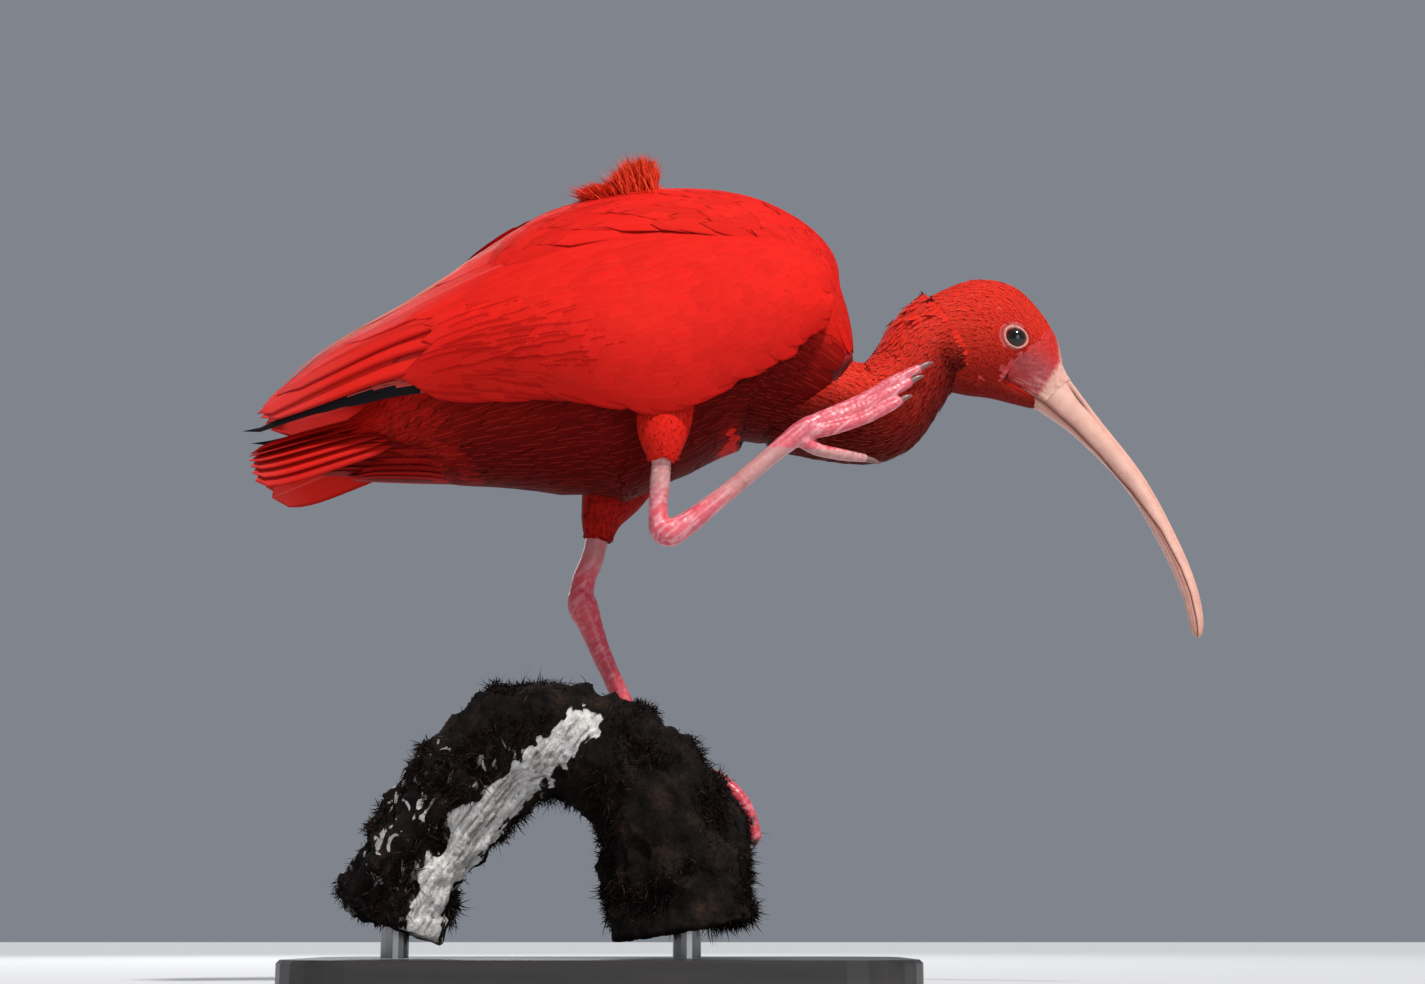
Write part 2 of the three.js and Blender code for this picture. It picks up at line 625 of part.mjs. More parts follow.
const back = mantle().reduce((a, b) => a.add(b), torsoWhole);
keep('torso', largest(back.trimByPlane([1, 0, 0], TAIL_START + GAP / 2)));
keep('thigh_right', largest(thighRight));
keep('thigh_left', largest(thighLeft));
keep('shank_right', largest(limb(SHANK, { rings: 7 }).subtract(thighRightGrown).subtract(tarsusRightGrown)));
keep('shank_left', largest(limb(FAR_SHANK, { rings: 7 }).subtract(thighLeftGrown).subtract(tarsusLeftGrown)));
keep('tarsus_right', tarsusRight);
keep('tarsus_left', tarsusLeft);

const toeGrown = [];
for (const side of ['right', 'left']) {
  const before = [side === 'right' ? tarsusRightGrown : tarsusLeftGrown];
  for (const name of ['middle', 'inner', 'outer', 'hind']) {
    const key = `${side}_${name}`;
    const claw = limb(CLAWS[key], { rings: 5, sides: 6, blunt: 0.2 });
    const clawGrown = limb(CLAWS[key], { rings: 5, sides: 6, grow: GAP, blunt: 0.2 });
    const toe = limb(TOES[key], { rings: 6, sides: 6 });
    keep(`toe_${key}`, largest(cutAll(toe, [...before, clawGrown])));
    keep(`claw_${key}`, largest(cutAll(claw, before)));
    const grown = limb(TOES[key], { rings: 6, sides: 6, grow: GAP });
    before.push(grown, clawGrown);
    toeGrown.push(grown, clawGrown);
  }
}
const feet = [...toeGrown, tarsusRightGrown, tarsusLeftGrown];
keep('neck_lower', largest(cutAll(neckLower, feet)));
keep('neck_upper', largest(cutAll(neckUpper, feet)));
keep('head', largest(head));
keep('bill_upper', largest(cutAll(upperBill, nostrils)));
keep('bill_lower', largest(lowerBill));
keep('eye_right', eyes.right);
keep('eye_left', eyes.left);

let tail = tailCore;
for (const piece of [...tailVanes(), ...underTail()]) tail = tail.add(piece);
const rumpGrown = torsoGrown.trimByPlane([1, 0, 0], TAIL_START - GAP);
keep('tail', largest(tail.subtract(rumpGrown)));
const mantleGrown = mantle(GAP);
keep('wing_right', wing(-1, [torsoGrown, thighRightGrown, ...mantleGrown]));
keep('wing_left', wing(1, [torsoGrown, thighLeftGrown, ...mantleGrown]));

keep('perch_limb', largest(cutAll(limbArm, feet)));
keep('perch_stub', largest(cutAll(stubArm, feet)));
const armsGrown = [bark(PERCH.limb, ACROSS_ARMS, GAP), bark(PERCH.stub, ACROSS_ARMS, GAP)];
keep('perch_branch', largest(cutAll(bark(PERCH.branch, ACROSS_BRANCH), [...feet, ...armsGrown])));

function plate() {
  const outline = [];
  const hx = BASE_LENGTH / 2 - BASE_CORNER;
  const hy = BASE_WIDTH / 2 - BASE_CORNER;
  for (const [sx, sy, start] of [[1, 1, 0], [-1, 1, 90], [-1, -1, 180], [1, -1, 270]]) {
    for (let i = 0; i <= 6; i++) {
      const a = THREE.MathUtils.degToRad(start + i * 15);
      outline.push([sx * hx, sy * hy, Math.cos(a), Math.sin(a)]);
    }
  }
  const ring = (z, inset) => outline.map(([x, y, c, s]) => v3(
    x + c * (BASE_CORNER - inset) - FOOT_X, y + s * (BASE_CORNER - inset), z - FOOT_Z));
  const rings = [ring(0, 0), ring(BASE_HEIGHT - BASE_BEVEL, 0), ring(BASE_HEIGHT, BASE_BEVEL)];
  return skinRings(rings, v3(-FOOT_X, 0, -FOOT_Z), v3(-FOOT_X, 0, BASE_HEIGHT - FOOT_Z));
}
keep('stand_base', plate());

function rod(x, y, radius, low, high) {
  const sides = 16;
  const ring = (z) => Array.from({ length: sides }, (_, i) => {
    const a = (i / sides) * Math.PI * 2;
    return v3(x + radius * Math.cos(a), y + radius * Math.sin(a), z);
  });
  return skinRings([ring(low), ring(high)], v3(x, y, low), v3(x, y, high));
}
const RODS = {
  stand_rod_left: { x: -108, y: -37, host: 'perch_stub' },
  stand_rod_right: { x: 16, y: -34, host: 'perch_limb' },
};
for (const [name, { x, y, host }] of Object.entries(RODS)) {
  const foot = BASE_HEIGHT - FOOT_Z;
  const socket = rod(x, y, ROD_RADIUS + GAP, foot, foot + ROD_HEIGHT + GAP);
  keep(name, rod(x, y, ROD_RADIUS, foot + GAP, foot + ROD_HEIGHT));
  keep(host, largest(made.get(host).subtract(socket)));
}

const COLOURS = {
  torso: '#d8151a', neck: '#d8151a', head: '#cf1a1e', bill: '#d99a86', eye: '#1a0d0a', wing: '#e0161a',
  tail: '#d8151a', thigh: '#c9141a', shank: '#cf6f6b', tarsus: '#d4716f', toe: '#d4716f', claw: '#b79a90',
  perch: '#3a2c25', stand: '#2b2b2e',
};
for (const [name, shape] of made) {
  const mesh = shape.getMesh();
  const geometry = new THREE.BufferGeometry();
  const points = new Float32Array((mesh.vertProperties.length / mesh.numProp) * 3);
  for (let i = 0; i < points.length / 3; i++) {
    for (let k = 0; k < 3; k++) {
      points[i * 3 + k] = mesh.vertProperties[i * mesh.numProp + k];
    }
  }
  geometry.setAttribute('position', new THREE.BufferAttribute(points, 3));
  geometry.setIndex(new THREE.BufferAttribute(new Uint32Array(mesh.triVerts), 1));
  geometry.translate(FOOT_X, 0, FOOT_Z);
  const colour = COLOURS[name.split('_')[0]];
  const node = new THREE.Mesh(geometry, new THREE.MeshStandardMaterial({ color: colour, roughness: 0.7 }));
  node.name = name;
  root.add(node);
}

export default root;
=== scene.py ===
import bpy
import math
import numpy as np
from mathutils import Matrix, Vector, noise


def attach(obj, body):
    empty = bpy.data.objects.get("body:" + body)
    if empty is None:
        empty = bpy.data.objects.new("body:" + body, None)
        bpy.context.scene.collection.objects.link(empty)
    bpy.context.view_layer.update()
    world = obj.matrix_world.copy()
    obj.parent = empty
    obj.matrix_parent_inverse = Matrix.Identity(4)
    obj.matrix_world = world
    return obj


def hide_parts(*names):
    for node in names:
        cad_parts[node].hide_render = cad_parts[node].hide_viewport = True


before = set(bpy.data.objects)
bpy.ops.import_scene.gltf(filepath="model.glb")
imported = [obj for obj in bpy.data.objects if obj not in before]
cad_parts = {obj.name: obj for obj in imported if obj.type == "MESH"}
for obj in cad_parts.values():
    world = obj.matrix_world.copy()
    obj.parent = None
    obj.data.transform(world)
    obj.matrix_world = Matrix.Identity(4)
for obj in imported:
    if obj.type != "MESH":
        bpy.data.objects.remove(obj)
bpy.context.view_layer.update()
rng = np.random.default_rng(7)

mm = 0.001
birdOrigin = np.array([20.0, 0.0, 92.0])
sideSign = {"right": -1, "left": 1}


# Curves and surfaces
def along(rows, t):
    rows = np.asarray(rows, float)
    last = len(rows) - 1
    t = clamp(np.asarray(t, float)) * last
    k = np.minimum(np.floor(t).astype(int), last - 1)
    f = (t - k)[..., None]
    p1, p2 = rows[k], rows[k + 1]
    m1 = (p2 - rows[np.maximum(k - 1, 0)]) / 2
    m2 = (rows[np.minimum(k + 2, last)] - p1) / 2
    return ((2 * f**3 - 3 * f**2 + 1) * p1 + (f**3 - 2 * f**2 + f) * m1
            + (3 * f**2 - 2 * f**3) * p2 + (f**3 - f**2) * m2)


def unit(v):
    return v / np.maximum(np.linalg.norm(v, axis=-1, keepdims=True), 1e-12)


class Loft:
    def __init__(self, rows, across=(0, 1, 0)):
        self.rows = [r if len(r) == 6 else (r[0], r[1], r[2], r[3], r[3], r[3]) for r in rows]
        self.across = np.array(across, float)

    def frame(self, t):
        r = along(self.rows, t)
        t = np.asarray(t, float)
        way = unit(along(self.rows, t + 0.01)[..., :3] - along(self.rows, t - 0.01)[..., :3])
        side = unit(self.across - way * (way @ self.across)[..., None])
        return r, way, side, np.cross(way, side)

    def point(self, t, a, proud=0.0):
        r, _, side, up = self.frame(t)
        a = np.asarray(a, float)
        high = np.where(np.sin(a) > 0, r[..., 4], r[..., 5])
        wide = side * ((r[..., 3] + proud) * np.cos(a))[..., None]
        return r[..., :3] + (wide + up * ((high + proud) * np.sin(a))[..., None])

    def outward(self, t, a):
        return self.point(t, a) - along(self.rows, t)[..., :3]


def facing(surface, u, v):
    du = surface.point(u + 0.01, v) - surface.point(u - 0.01, v)
    dv = surface.point(u, v + 0.02) - surface.point(u, v - 0.02)
    n = unit(np.cross(du, dv))
    turned = np.sum(n * surface.outward(u, v), axis=-1, keepdims=True)
    return np.where(turned < 0, -n, n)


def blend(a, b, share):
    return a * (1 - share) + b * share


def clamp(x):
    return np.clip(x, 0, 1)


def fade(x, start, end):  # 0 at start, 1 at end
    return clamp((x - start) / (end - start))


def bell(distance, width):
    return np.exp(-((distance / width) ** 2))


def rough(points):
    return np.array([noise.noise(Vector(q)) for q in points])


def nearLine(points, line):
    best = np.full(len(points), 1e9)
    for (x0, z0), (x1, z1) in zip(line[:-1], line[1:]):
        d = np.array([x1 - x0, z1 - z0])
        q = points[:, [0, 2]] - np.array([x0, z0])
        f = clamp(q @ d / (d @ d))
        best = np.minimum(best, np.linalg.norm(q - f[:, None] * d, axis=1))
    return best


# Meshes
def toWorld(points):
    return (np.asarray(points) + birdOrigin) * mm


def addPiece(name, mesh, material):
    piece = bpy.data.objects.new(name, mesh)
    bpy.context.scene.collection.objects.link(piece)
    mesh.materials.append(material)
    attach(piece, "root")
    return piece


def newPiece(name, verts, faces, material):
    mesh = bpy.data.meshes.new(name)
    mesh.from_pydata([tuple(p) for p in verts], [], faces)
    mesh.validate()
    mesh.update()
    mesh.shade_smooth()
    return addPiece(name, mesh, material)


def gridFaces(rows, cols, closed=True):
    faces = []
    for r in range(rows - 1):
        for c in range(cols if closed else cols - 1):
            a = r * cols + c
            b = r * cols + (c + 1) % cols
            faces.append((a, b, b + cols, a + cols))
    return faces


def capFaces(rings, sides):  # the two end points come after the rings
    n = rings * sides
    faces = []
    for c in range(sides):
        d = (c + 1) % sides
        faces += [(d, c, n), (n - sides + c, n - sides + d, n + 1)]
    return faces


def ringGrid(rings, sides, start=0.0, end=1.0):
    t = np.repeat(np.linspace(start, end, rings), sides)
    return t, np.tile(np.linspace(0, 2 * math.pi, sides, endpoint=False), rings)


def loftShape(loft, rings, sides, proud=0.0):
    t, a = ringGrid(rings, sides)
    ends = along(loft.rows, np.array([0.0, 1.0]))[:, :3]
    verts = np.vstack([loft.point(t, a, proud), ends])
    return verts, gridFaces(rings, sides) + capFaces(rings, sides)


def joinShapes(shapes):
    verts = []
    faces = []
    for v, f in shapes:
        start = sum(len(x) for x in verts)
        verts.append(np.asarray(v))
        faces.extend([tuple(i + start for i in face) for face in f])
    return np.vstack(verts), faces


def fuse(name, shapes, voxel, material, relax=6):
    verts, faces = joinShapes(shapes)
    piece = newPiece(name, toWorld(verts), faces, material)
    bpy.context.view_layer.objects.active = piece
    piece.select_set(True)
    bpy.ops.object.mode_set(mode="EDIT")
    bpy.ops.mesh.select_all(action="SELECT")
    bpy.ops.mesh.normals_make_consistent(inside=False)
    bpy.ops.object.mode_set(mode="OBJECT")
    remesh = piece.modifiers.new("Remesh", "REMESH")
    remesh.mode = "VOXEL"
    remesh.voxel_size = voxel * mm
    relaxer = piece.modifiers.new("Smooth", "SMOOTH")
    relaxer.iterations = relax
    relaxer.factor = 0.5
    for mod in list(piece.modifiers):
        bpy.ops.object.modifier_apply(modifier=mod.name)
    piece.select_set(False)
    piece.data.shade_smooth()
    return piece


def coordinates(piece):
    co = np.empty(len(piece.data.vertices) * 3)
    piece.data.vertices.foreach_get("co", co)
    return co.reshape(-1, 3)


def vertexNormals(piece):
    n = np.empty(len(piece.data.vertices) * 3)
    piece.data.vertices.foreach_get("normal", n)
    return n.reshape(-1, 3)


def pushOut(piece, amounts):
    co = coordinates(piece) + vertexNormals(piece) * amounts[:, None]
    piece.data.vertices.foreach_set("co", co.ravel())
    piece.data.update()


def paint(piece, name, colours):
    layer = piece.data.color_attributes.new(name, "FLOAT_COLOR", "POINT")
    rgba = np.ones((len(piece.data.vertices), 4))
    rgba[:, :3] = colours
    layer.data.foreach_set("color", rgba.ravel())


def value(piece, name, amounts):
    layer = piece.data.attributes.new(name, "FLOAT", "POINT")
    layer.data.foreach_set("value", np.asarray(amounts, float))


def bakeMap(piece, uvs):
    layer = piece.data.uv_layers.new(name="OFBake")
    loops = np.empty(len(piece.data.loops), int)
    piece.data.loops.foreach_get("vertex_index", loops)
    layer.data.foreach_set("uv", np.asarray(uvs)[loops].ravel())


def wrapUv(points):
    p = np.asarray(points) / mm - birdOrigin
    u = clamp((p[:, 0] + 190) / 450) * 0.96 + 0.02
    v = (np.arctan2(p[:, 1], p[:, 2] - 190) / (2 * math.pi) + 0.5) * 0.96 + 0.02
    return np.stack([u, v], axis=1)


# Materials
def shader(name):
    material = bpy.data.materials.new(name)
    material.use_nodes = True
    tree = material.node_tree
    return material, tree, tree.nodes["Principled BSDF"]


def ramp(tree, source, stops):
    node = tree.nodes.new("ShaderNodeValToRGB")
    while len(node.color_ramp.elements) < len(stops):
        node.color_ramp.elements.new(0.5)
    for element, (place, colour) in zip(node.color_ramp.elements, stops):
        element.position = place
        element.color = (*colour, 1)
    tree.links.new(source, node.inputs["Fac"])
    return node.outputs["Color"]


def dial(node, **amounts):  # sets a node's sockets; an underscore stands for a space
    for key, amount in amounts.items():
        node.inputs[key.replace("_", " ")].default_value = amount


def texture(tree, kind, scale, where=None, **settings):
    node = tree.nodes.new("ShaderNodeTex" + kind)
    dial(node, Scale=scale, **settings)
    if where is None:
        where = tree.nodes.new("ShaderNodeTexCoord").outputs["Object"]
    tree.links.new(where, node.inputs["Vector"])
    return node.outputs["Distance" if kind == "Voronoi" else "Fac"]


def stretched(tree, scale, turn=(0, 0, 0)):
    mapping = tree.nodes.new("ShaderNodeMapping")
    dial(mapping, Scale=scale, Rotation=turn)
    mapping.vector_type = "TEXTURE" if any(turn) else "POINT"
    tree.links.new(tree.nodes.new("ShaderNodeTexCoord").outputs["Object"], mapping.inputs["Vector"])
    return mapping.outputs["Vector"]


def mixColour(tree, a, b, factor, mode="MIX"):
    node = tree.nodes.new("ShaderNodeMix")
    node.data_type = "RGBA"
    node.blend_type = mode
    for socket, source in ((node.inputs[0], factor), (node.inputs[6], a), (node.inputs[7], b)):
        if isinstance(source, (int, float)):
            socket.default_value = source
        elif isinstance(source, tuple):
            socket.default_value = (*source, 1)
        else:
            tree.links.new(source, socket)
    return node.outputs[2]


def mathNode(tree, kind, a, b=0.0):
    node = tree.nodes.new("ShaderNodeMath")
    node.operation = kind
    for socket, source in zip(node.inputs, (a, b)):
        if isinstance(source, (int, float)):
            socket.default_value = source
        else:
            tree.links.new(source, socket)
    return node.outputs[0]


def bumpFrom(tree, height, strength, distance, bsdf, after=None):
    node = tree.nodes.new("ShaderNodeBump")
    dial(node, Strength=strength, Distance=distance)
    tree.links.new(height, node.inputs["Height"])
    if after:
        tree.links.new(after, node.inputs["Normal"])
    if bsdf:
        tree.links.new(node.outputs["Normal"], bsdf.inputs["Normal"])
    return node.outputs["Normal"]


def attribute(tree, name, output="Fac"):
    node = tree.nodes.new("ShaderNodeAttribute")
    node.attribute_name = name
    return node.outputs[output]


def featherMaterial(name, bright, tip, barbs=60.0, tipDark=None, roughness=0.6, edgeLight=0.3):
    material, tree, bsdf = shader(name)
    black, light = (0.0, 0.0, 0.0), (edgeLight,) * 3

    def times(a, b):
        return mathNode(tree, "MULTIPLY", a, b)
    uv = tree.nodes.new("ShaderNodeUVMap")
    uv.uv_map = "vane"
    parts = tree.nodes.new("ShaderNodeSeparateXYZ")
    tree.links.new(uv.outputs["UV"], parts.inputs["Vector"])
    across, up = parts.outputs["X"], parts.outputs["Y"]
    aside = mathNode(tree, "ABSOLUTE", mathNode(tree, "SUBTRACT", across, 0.5))
    slant = mathNode(tree, "SUBTRACT", up, times(aside, 0.55))
    wave = mathNode(tree, "SINE", times(slant, barbs * 6.283))
    # tone holds random tone and painted shade: low tones give the darker, shaded red
    tone = attribute(tree, "tone")
    shadedDeep = tuple(c * 0.07 for c in bright)
    middle = tuple(c * 0.62 for c in bright)
    base = ramp(tree, tone, [(0.0, shadedDeep), (0.5, middle), (1.0, bright)])
    patch = texture(tree, "Noise", 34.0, Detail=3.0)
    warm = mixColour(tree, base, (bright[0], bright[1] * 3.0, bright[2] * 1.2),
                     times(times(patch, tone), 0.4))
    edge = ramp(tree, up, [(0.0, black), (0.78, black), (1.0, light)])
    tipped = mixColour(tree, warm, tip, times(edge, tone))
    lines = times(mathNode(tree, "ADD", wave, 1.0), 0.06)
    lined = mixColour(tree, tipped, (0.5, 0.0, 0.0), lines, "MULTIPLY")
    shaft = ramp(tree, aside, [(0.0, light), (0.035, black), (1.0, black)])
    # painted shade: each vane is darker along its side edges
    rim = ramp(tree, aside, [(0.0, black), (0.40, black), (0.5, (0.55, 0.55, 0.55))])
    colour = mixColour(tree, mixColour(tree, lined, tip, shaft), (0.35, 0.0, 0.0), rim, "MULTIPLY")
    if tipDark:  # share of the length where the dark tip starts
        reach = mathNode(tree, "ADD", up, times(patch, 0.06))
        beyond = mathNode(tree, "GREATER_THAN", reach, tipDark)
        colour = mixColour(tree, colour, (0.012, 0.010, 0.012), beyond)
    tree.links.new(colour, bsdf.inputs["Base Color"])
    dial(bsdf, Roughness=roughness, Specular_IOR_Level=0.05)
    bumpFrom(tree, wave, 0.3, 0.0002, bsdf)
    return material


def tintedMaterial(name, roughness, bumps, specular=0.4, coat=0.0, tintNoise=None, scatter=0.0):
    material, tree, bsdf = shader(name)
    tint = attribute(tree, "tint", "Color")
    if tintNoise:
        spots = texture(tree, "Noise", tintNoise[0], Detail=5.0, Roughness=0.65)
        shade = ramp(tree, spots, [(0.3, tintNoise[1]), (0.7, tintNoise[2])])
        tint = mixColour(tree, tint, shade, 1.0, "MULTIPLY")
    tree.links.new(tint, bsdf.inputs["Base Color"])
    dial(bsdf, Roughness=roughness, Specular_IOR_Level=specular)
    if coat:
        dial(bsdf, Coat_Weight=coat, Coat_Roughness=0.15)
    if scatter:
        dial(bsdf, Subsurface_Weight=scatter, Subsurface_Radius=(0.004, 0.0015, 0.001),
             Subsurface_Scale=0.5)
    last = None
    for kind, scale, strength, distance, stretch in bumps:
        where = stretched(tree, stretch) if stretch else None
        last = bumpFrom(tree, texture(tree, kind, scale, where), strength, distance, None, last)
    if last:
        tree.links.new(last, bsdf.inputs["Normal"])
    return material


materials = {
    "skin": tintedMaterial("UnderSkin", 0.8, [("Noise", 900.0, 0.3, 0.0004, None)]),
    "face": tintedMaterial("FaceSkin", 0.5, [
        ("Voronoi", 1500.0, 0.12, 0.00015, None),
        ("Noise", 420.0, 0.3, 0.0004, (1.0, 1.0, 2.6)),
    ], tintNoise=(380.0, (0.78, 0.7, 0.7), (1.1, 1.08, 1.08)), scatter=0.12),
    "bill": tintedMaterial("BillHorn", 0.36, [
        ("Noise", 500.0, 0.25, 0.0003, (1.0, 1.0, 0.18)),
    ], tintNoise=(160.0, (0.86, 0.8, 0.78), (1.06, 1.06, 1.06)), coat=0.15, scatter=0.1),
    "leg": tintedMaterial("LegScales", 0.34, [
        ("Voronoi", 520.0, 0.3, 0.0004, None),
        ("Noise", 900.0, 0.2, 0.0002, None),
    ], tintNoise=(300.0, (0.92, 0.84, 0.86), (1.06, 1.08, 1.08)), specular=0.35, coat=0.12),
    "claw": tintedMaterial("ClawHorn", 0.38, [("Noise", 700.0, 0.2, 0.0002, None)], coat=0.2),
    "contour": featherMaterial("ContourFeathers", (0.80, 0.011, 0.008), (0.85, 0.05, 0.03), barbs=22.0),
    "covert": featherMaterial("CovertFeathers", (0.80, 0.012, 0.010), (0.88, 0.06, 0.05), barbs=34.0,
                              edgeLight=0.12),
    "flight": featherMaterial("FlightFeathers", (0.80, 0.016, 0.014), (0.90, 0.16, 0.16), barbs=90.0,
                              roughness=0.5),
    "primary": featherMaterial("PrimaryFeathers", (0.66, 0.05, 0.05), (0.8, 0.35, 0.33), barbs=90.0,
                               tipDark=0.70, roughness=0.5),
    # painted highlight: pale pink feathers for the strip along the top edge of the wing
    "edge": featherMaterial("EdgeHighlightFeathers", (0.86, 0.16, 0.16), (0.88, 0.24, 0.24)),
    "head": featherMaterial("HeadFeathers", (0.76, 0.020, 0.012), (0.88, 0.15, 0.11), barbs=9.0,
                            roughness=0.65, edgeLight=0.45),
    "tuft": featherMaterial("TuftFeathers", (1.0, 0.06, 0.03), (1.0, 0.2, 0.12), barbs=12.0, roughness=0.7),
}


# Feathers: centre lines, facings and outline give joined sheets
def outline(s, blunt=2.6):
    rise = 1 - clamp(1 - s / 0.32) ** 2
    fall = np.sqrt(clamp(1 - clamp((s - 0.32) / 0.68) ** blunt))
    return rise * 0.85 * fall + 0.15 * fall


def sheets(centre, normal, width, camber=0.06, slope=0.0, ragged=0.05, cols=5, blunt=2.6, ridge=0.0):
    count, rows = centre.shape[:2]
    s = np.linspace(0, 1, rows)
    way = unit(np.gradient(centre, axis=1))
    side = unit(np.cross(normal, way))
    w = np.linspace(-1, 1, cols)
    half = 0.5 * np.asarray(width)[:, None] * outline(s, blunt)[None, :]
    length = np.linalg.norm(centre[:, -1] - centre[:, 0], axis=1)
    aside = half[:, :, None] * w[None, None, :]
    drop = -camber * (w**2)[None, None, :] * half[:, :, None] * 2 + slope * aside
    drop = drop + ridge * (np.abs(w) < 0.01)[None, None, :]
    points = centre[:, :, None, :] + side[:, :, None, :] * aside[..., None]
    points = points + normal[:, :, None, :] * drop[..., None]
    fray = rng.uniform(-1, 1, (count, rows, cols)) * (np.abs(w) ** 2)[None, None, :] * (s**2)[None, :, None]
    points = points + way[:, :, None, :] * (fray * ragged * length[:, None, None])[..., None]
    return points


def featherPiece(name, groups, material, thick=0.0):
    verts, faces, vane, tones, bakes = [], [], [], [], []
    start = 0
    for points, tone in groups:
        count, rows, cols = points.shape[:3]
        verts.append(toWorld(points).reshape(-1, 3))
        quad = np.array(gridFaces(rows, cols, closed=False))
        faces.append((quad[None] + (np.arange(count) * rows * cols)[:, None, None] + start).reshape(-1, 4))
        u, v = np.meshgrid(np.linspace(0, 1, cols), np.linspace(0, 1, rows))
        vane.append(np.tile(np.stack([u, v], axis=-1).reshape(-1, 2), (count, 1)))
        tones.append(np.repeat(tone, rows * cols))
        root = wrapUv(toWorld(points)[:, 0, cols // 2])
        patch = np.stack([u - 0.5, v - 0.5], axis=-1).reshape(-1, 2) * 0.003
        bakes.append((root[:, None, :] + patch[None]).reshape(-1, 2))
        start += count * rows * cols
    verts = np.vstack(verts)
    faces = np.vstack(faces)
    mesh = bpy.data.meshes.new(name)
    mesh.vertices.add(len(verts))
    mesh.vertices.foreach_set("co", verts.ravel())
    mesh.loops.add(faces.size)
    mesh.loops.foreach_set("vertex_index", faces.ravel())
    mesh.polygons.add(len(faces))
    mesh.polygons.foreach_set("loop_start", np.arange(0, faces.size, 4))
    mesh.polygons.foreach_set("use_smooth", np.ones(len(faces), bool))
    mesh.update(calc_edges=True)
    piece = addPiece(name, mesh, materials[material])
    layer = mesh.uv_layers.new(name="vane")
    layer.data.foreach_set("uv", np.vstack(vane)[faces.ravel()].ravel())
    value(piece, "tone", np.concatenate(tones))
    bakeMap(piece, np.vstack(bakes))
    if thick:
        solid = piece.modifiers.new("Thickness", "SOLIDIFY")
        solid.thickness = thick * mm
        solid.offset = 0.0
    return piece


def lay(surface, start, end, lift, rows=7, sink=0.5, curl=0.0):
    s = np.linspace(0, 1, rows)
    u = start[:, 0, None] * (1 - s) + end[:, 0, None] * s
    v = start[:, 1, None] * (1 - s) + end[:, 1, None] * s
    n = facing(surface, u, v)
    lift = np.broadcast_to(np.asarray(lift, float), (len(start),))[:, None]
    height = lift - (lift + sink) * (1 - s) ** 2.4 + curl * s**3
    return surface.point(u, v) + n * height[..., None], n


def scatter(plan, keep=None):
    starts, ends = [], []
    (uStep, vStep), jitter = plan["steps"], 0.35
    for i, u in enumerate(np.arange(*plan["span"], uStep)):
        for v in np.arange(plan["round"][0] + (i % 2) * vStep / 2, plan["round"][1], vStep):
            ju = u + rng.uniform(-jitter, jitter) * uStep
            jv = v + rng.uniform(-jitter, jitter) * vStep
            if keep and not keep(ju, jv):
                continue
            reach = plan["length"] * rng.uniform(0.85, 1.15)
            starts.append((ju, jv))
            ends.append((ju + reach, jv + plan["sway"] * rng.uniform(-1, 1)))
    return np.array(starts), np.array(ends)


print("materials done")

# Body forms, in mm from the standing foot: x, y, z, half width, height above, depth below
bodyForm = {
    "torso": [
        (-150, 0, 149, 7, 7, 9), (-128, 0, 156, 16, 14, 22), (-105, 0, 168, 26, 26, 39),
        (-70, 0, 187, 37, 44, 64), (-32, 0, 203, 44, 61, 79), (15, 0, 207, 46, 66, 68),
        (50, 0, 203, 43, 59, 54), (69, 0, 195, 36, 36, 46), (88, 0, 184, 26, 10, 37),
    ],
    "neck": [
        (60, 0, 178, 24, 18, 28), (84, 0, 170, 24, 21, 25), (103, 0, 169, 23, 21, 23.5),
        (117, 0, 181, 20, 20, 19), (127, 0, 196, 19, 21, 19), (138, 0, 204, 17.5, 24, 26),
    ],
    "head": [
        (130, 0, 203, 16, 19, 20), (150, 0, 204, 17, 26.5, 27), (163, 0, 201, 16, 25, 24.5),
        (174, 0, 195, 13.5, 16, 22), (181, 0, 183, 9.5, 9.8, 12),
    ],
    "chin": [
        (136, 0, 188, 8, 4, 10), (148, 0, 185.5, 8.5, 3, 10), (158, 0, 182, 7.6, 2.5, 8),
        (168, 0, 177, 5.6, 1.5, 5.6), (176, 0, 173, 4.2, 1.2, 3.6), (182, 0, 171, 2.5, 1, 2),
    ],
    "bill": [
        (176, 0, 187.5, 8.4, 10.4, 12.6), (181, 0, 181.5, 8, 10.6, 12.8), (199.4, 0, 160.9, 5.8, 7.2, 7.2),
        (221.4, 0, 133.7, 4.4, 5.1, 5.1), (236.3, 0, 104.9, 3.7, 4.3, 4.3), (243.5, 0, 86, 3.3, 3.9, 3.9),
        (246.4, 0, 72.6, 2.9, 3.5, 3.5), (247, 0, 65, 2.2, 2.5, 2.5), (247, 0, 62.4, 0.9, 0.9, 0.9),
    ],
    "thighs": {
        "right": [(8, -26, 178, 11), (6, -36, 162, 11.5), (5, -41, 148, 9.8), (5, -42, 136, 5.2)],
        "left": [
            (-12, 22, 150, 17), (-20, 22, 134, 13.5), (-25, 22, 122, 8.5), (-26.5, 22, 112, 5.2),
        ],
    },
}
torso, neck, head, chin, bill = (Loft(bodyForm[part]) for part in ("torso", "neck", "head", "chin", "bill"))
thighs = {name: Loft(rows) for name, rows in bodyForm["thighs"].items()}

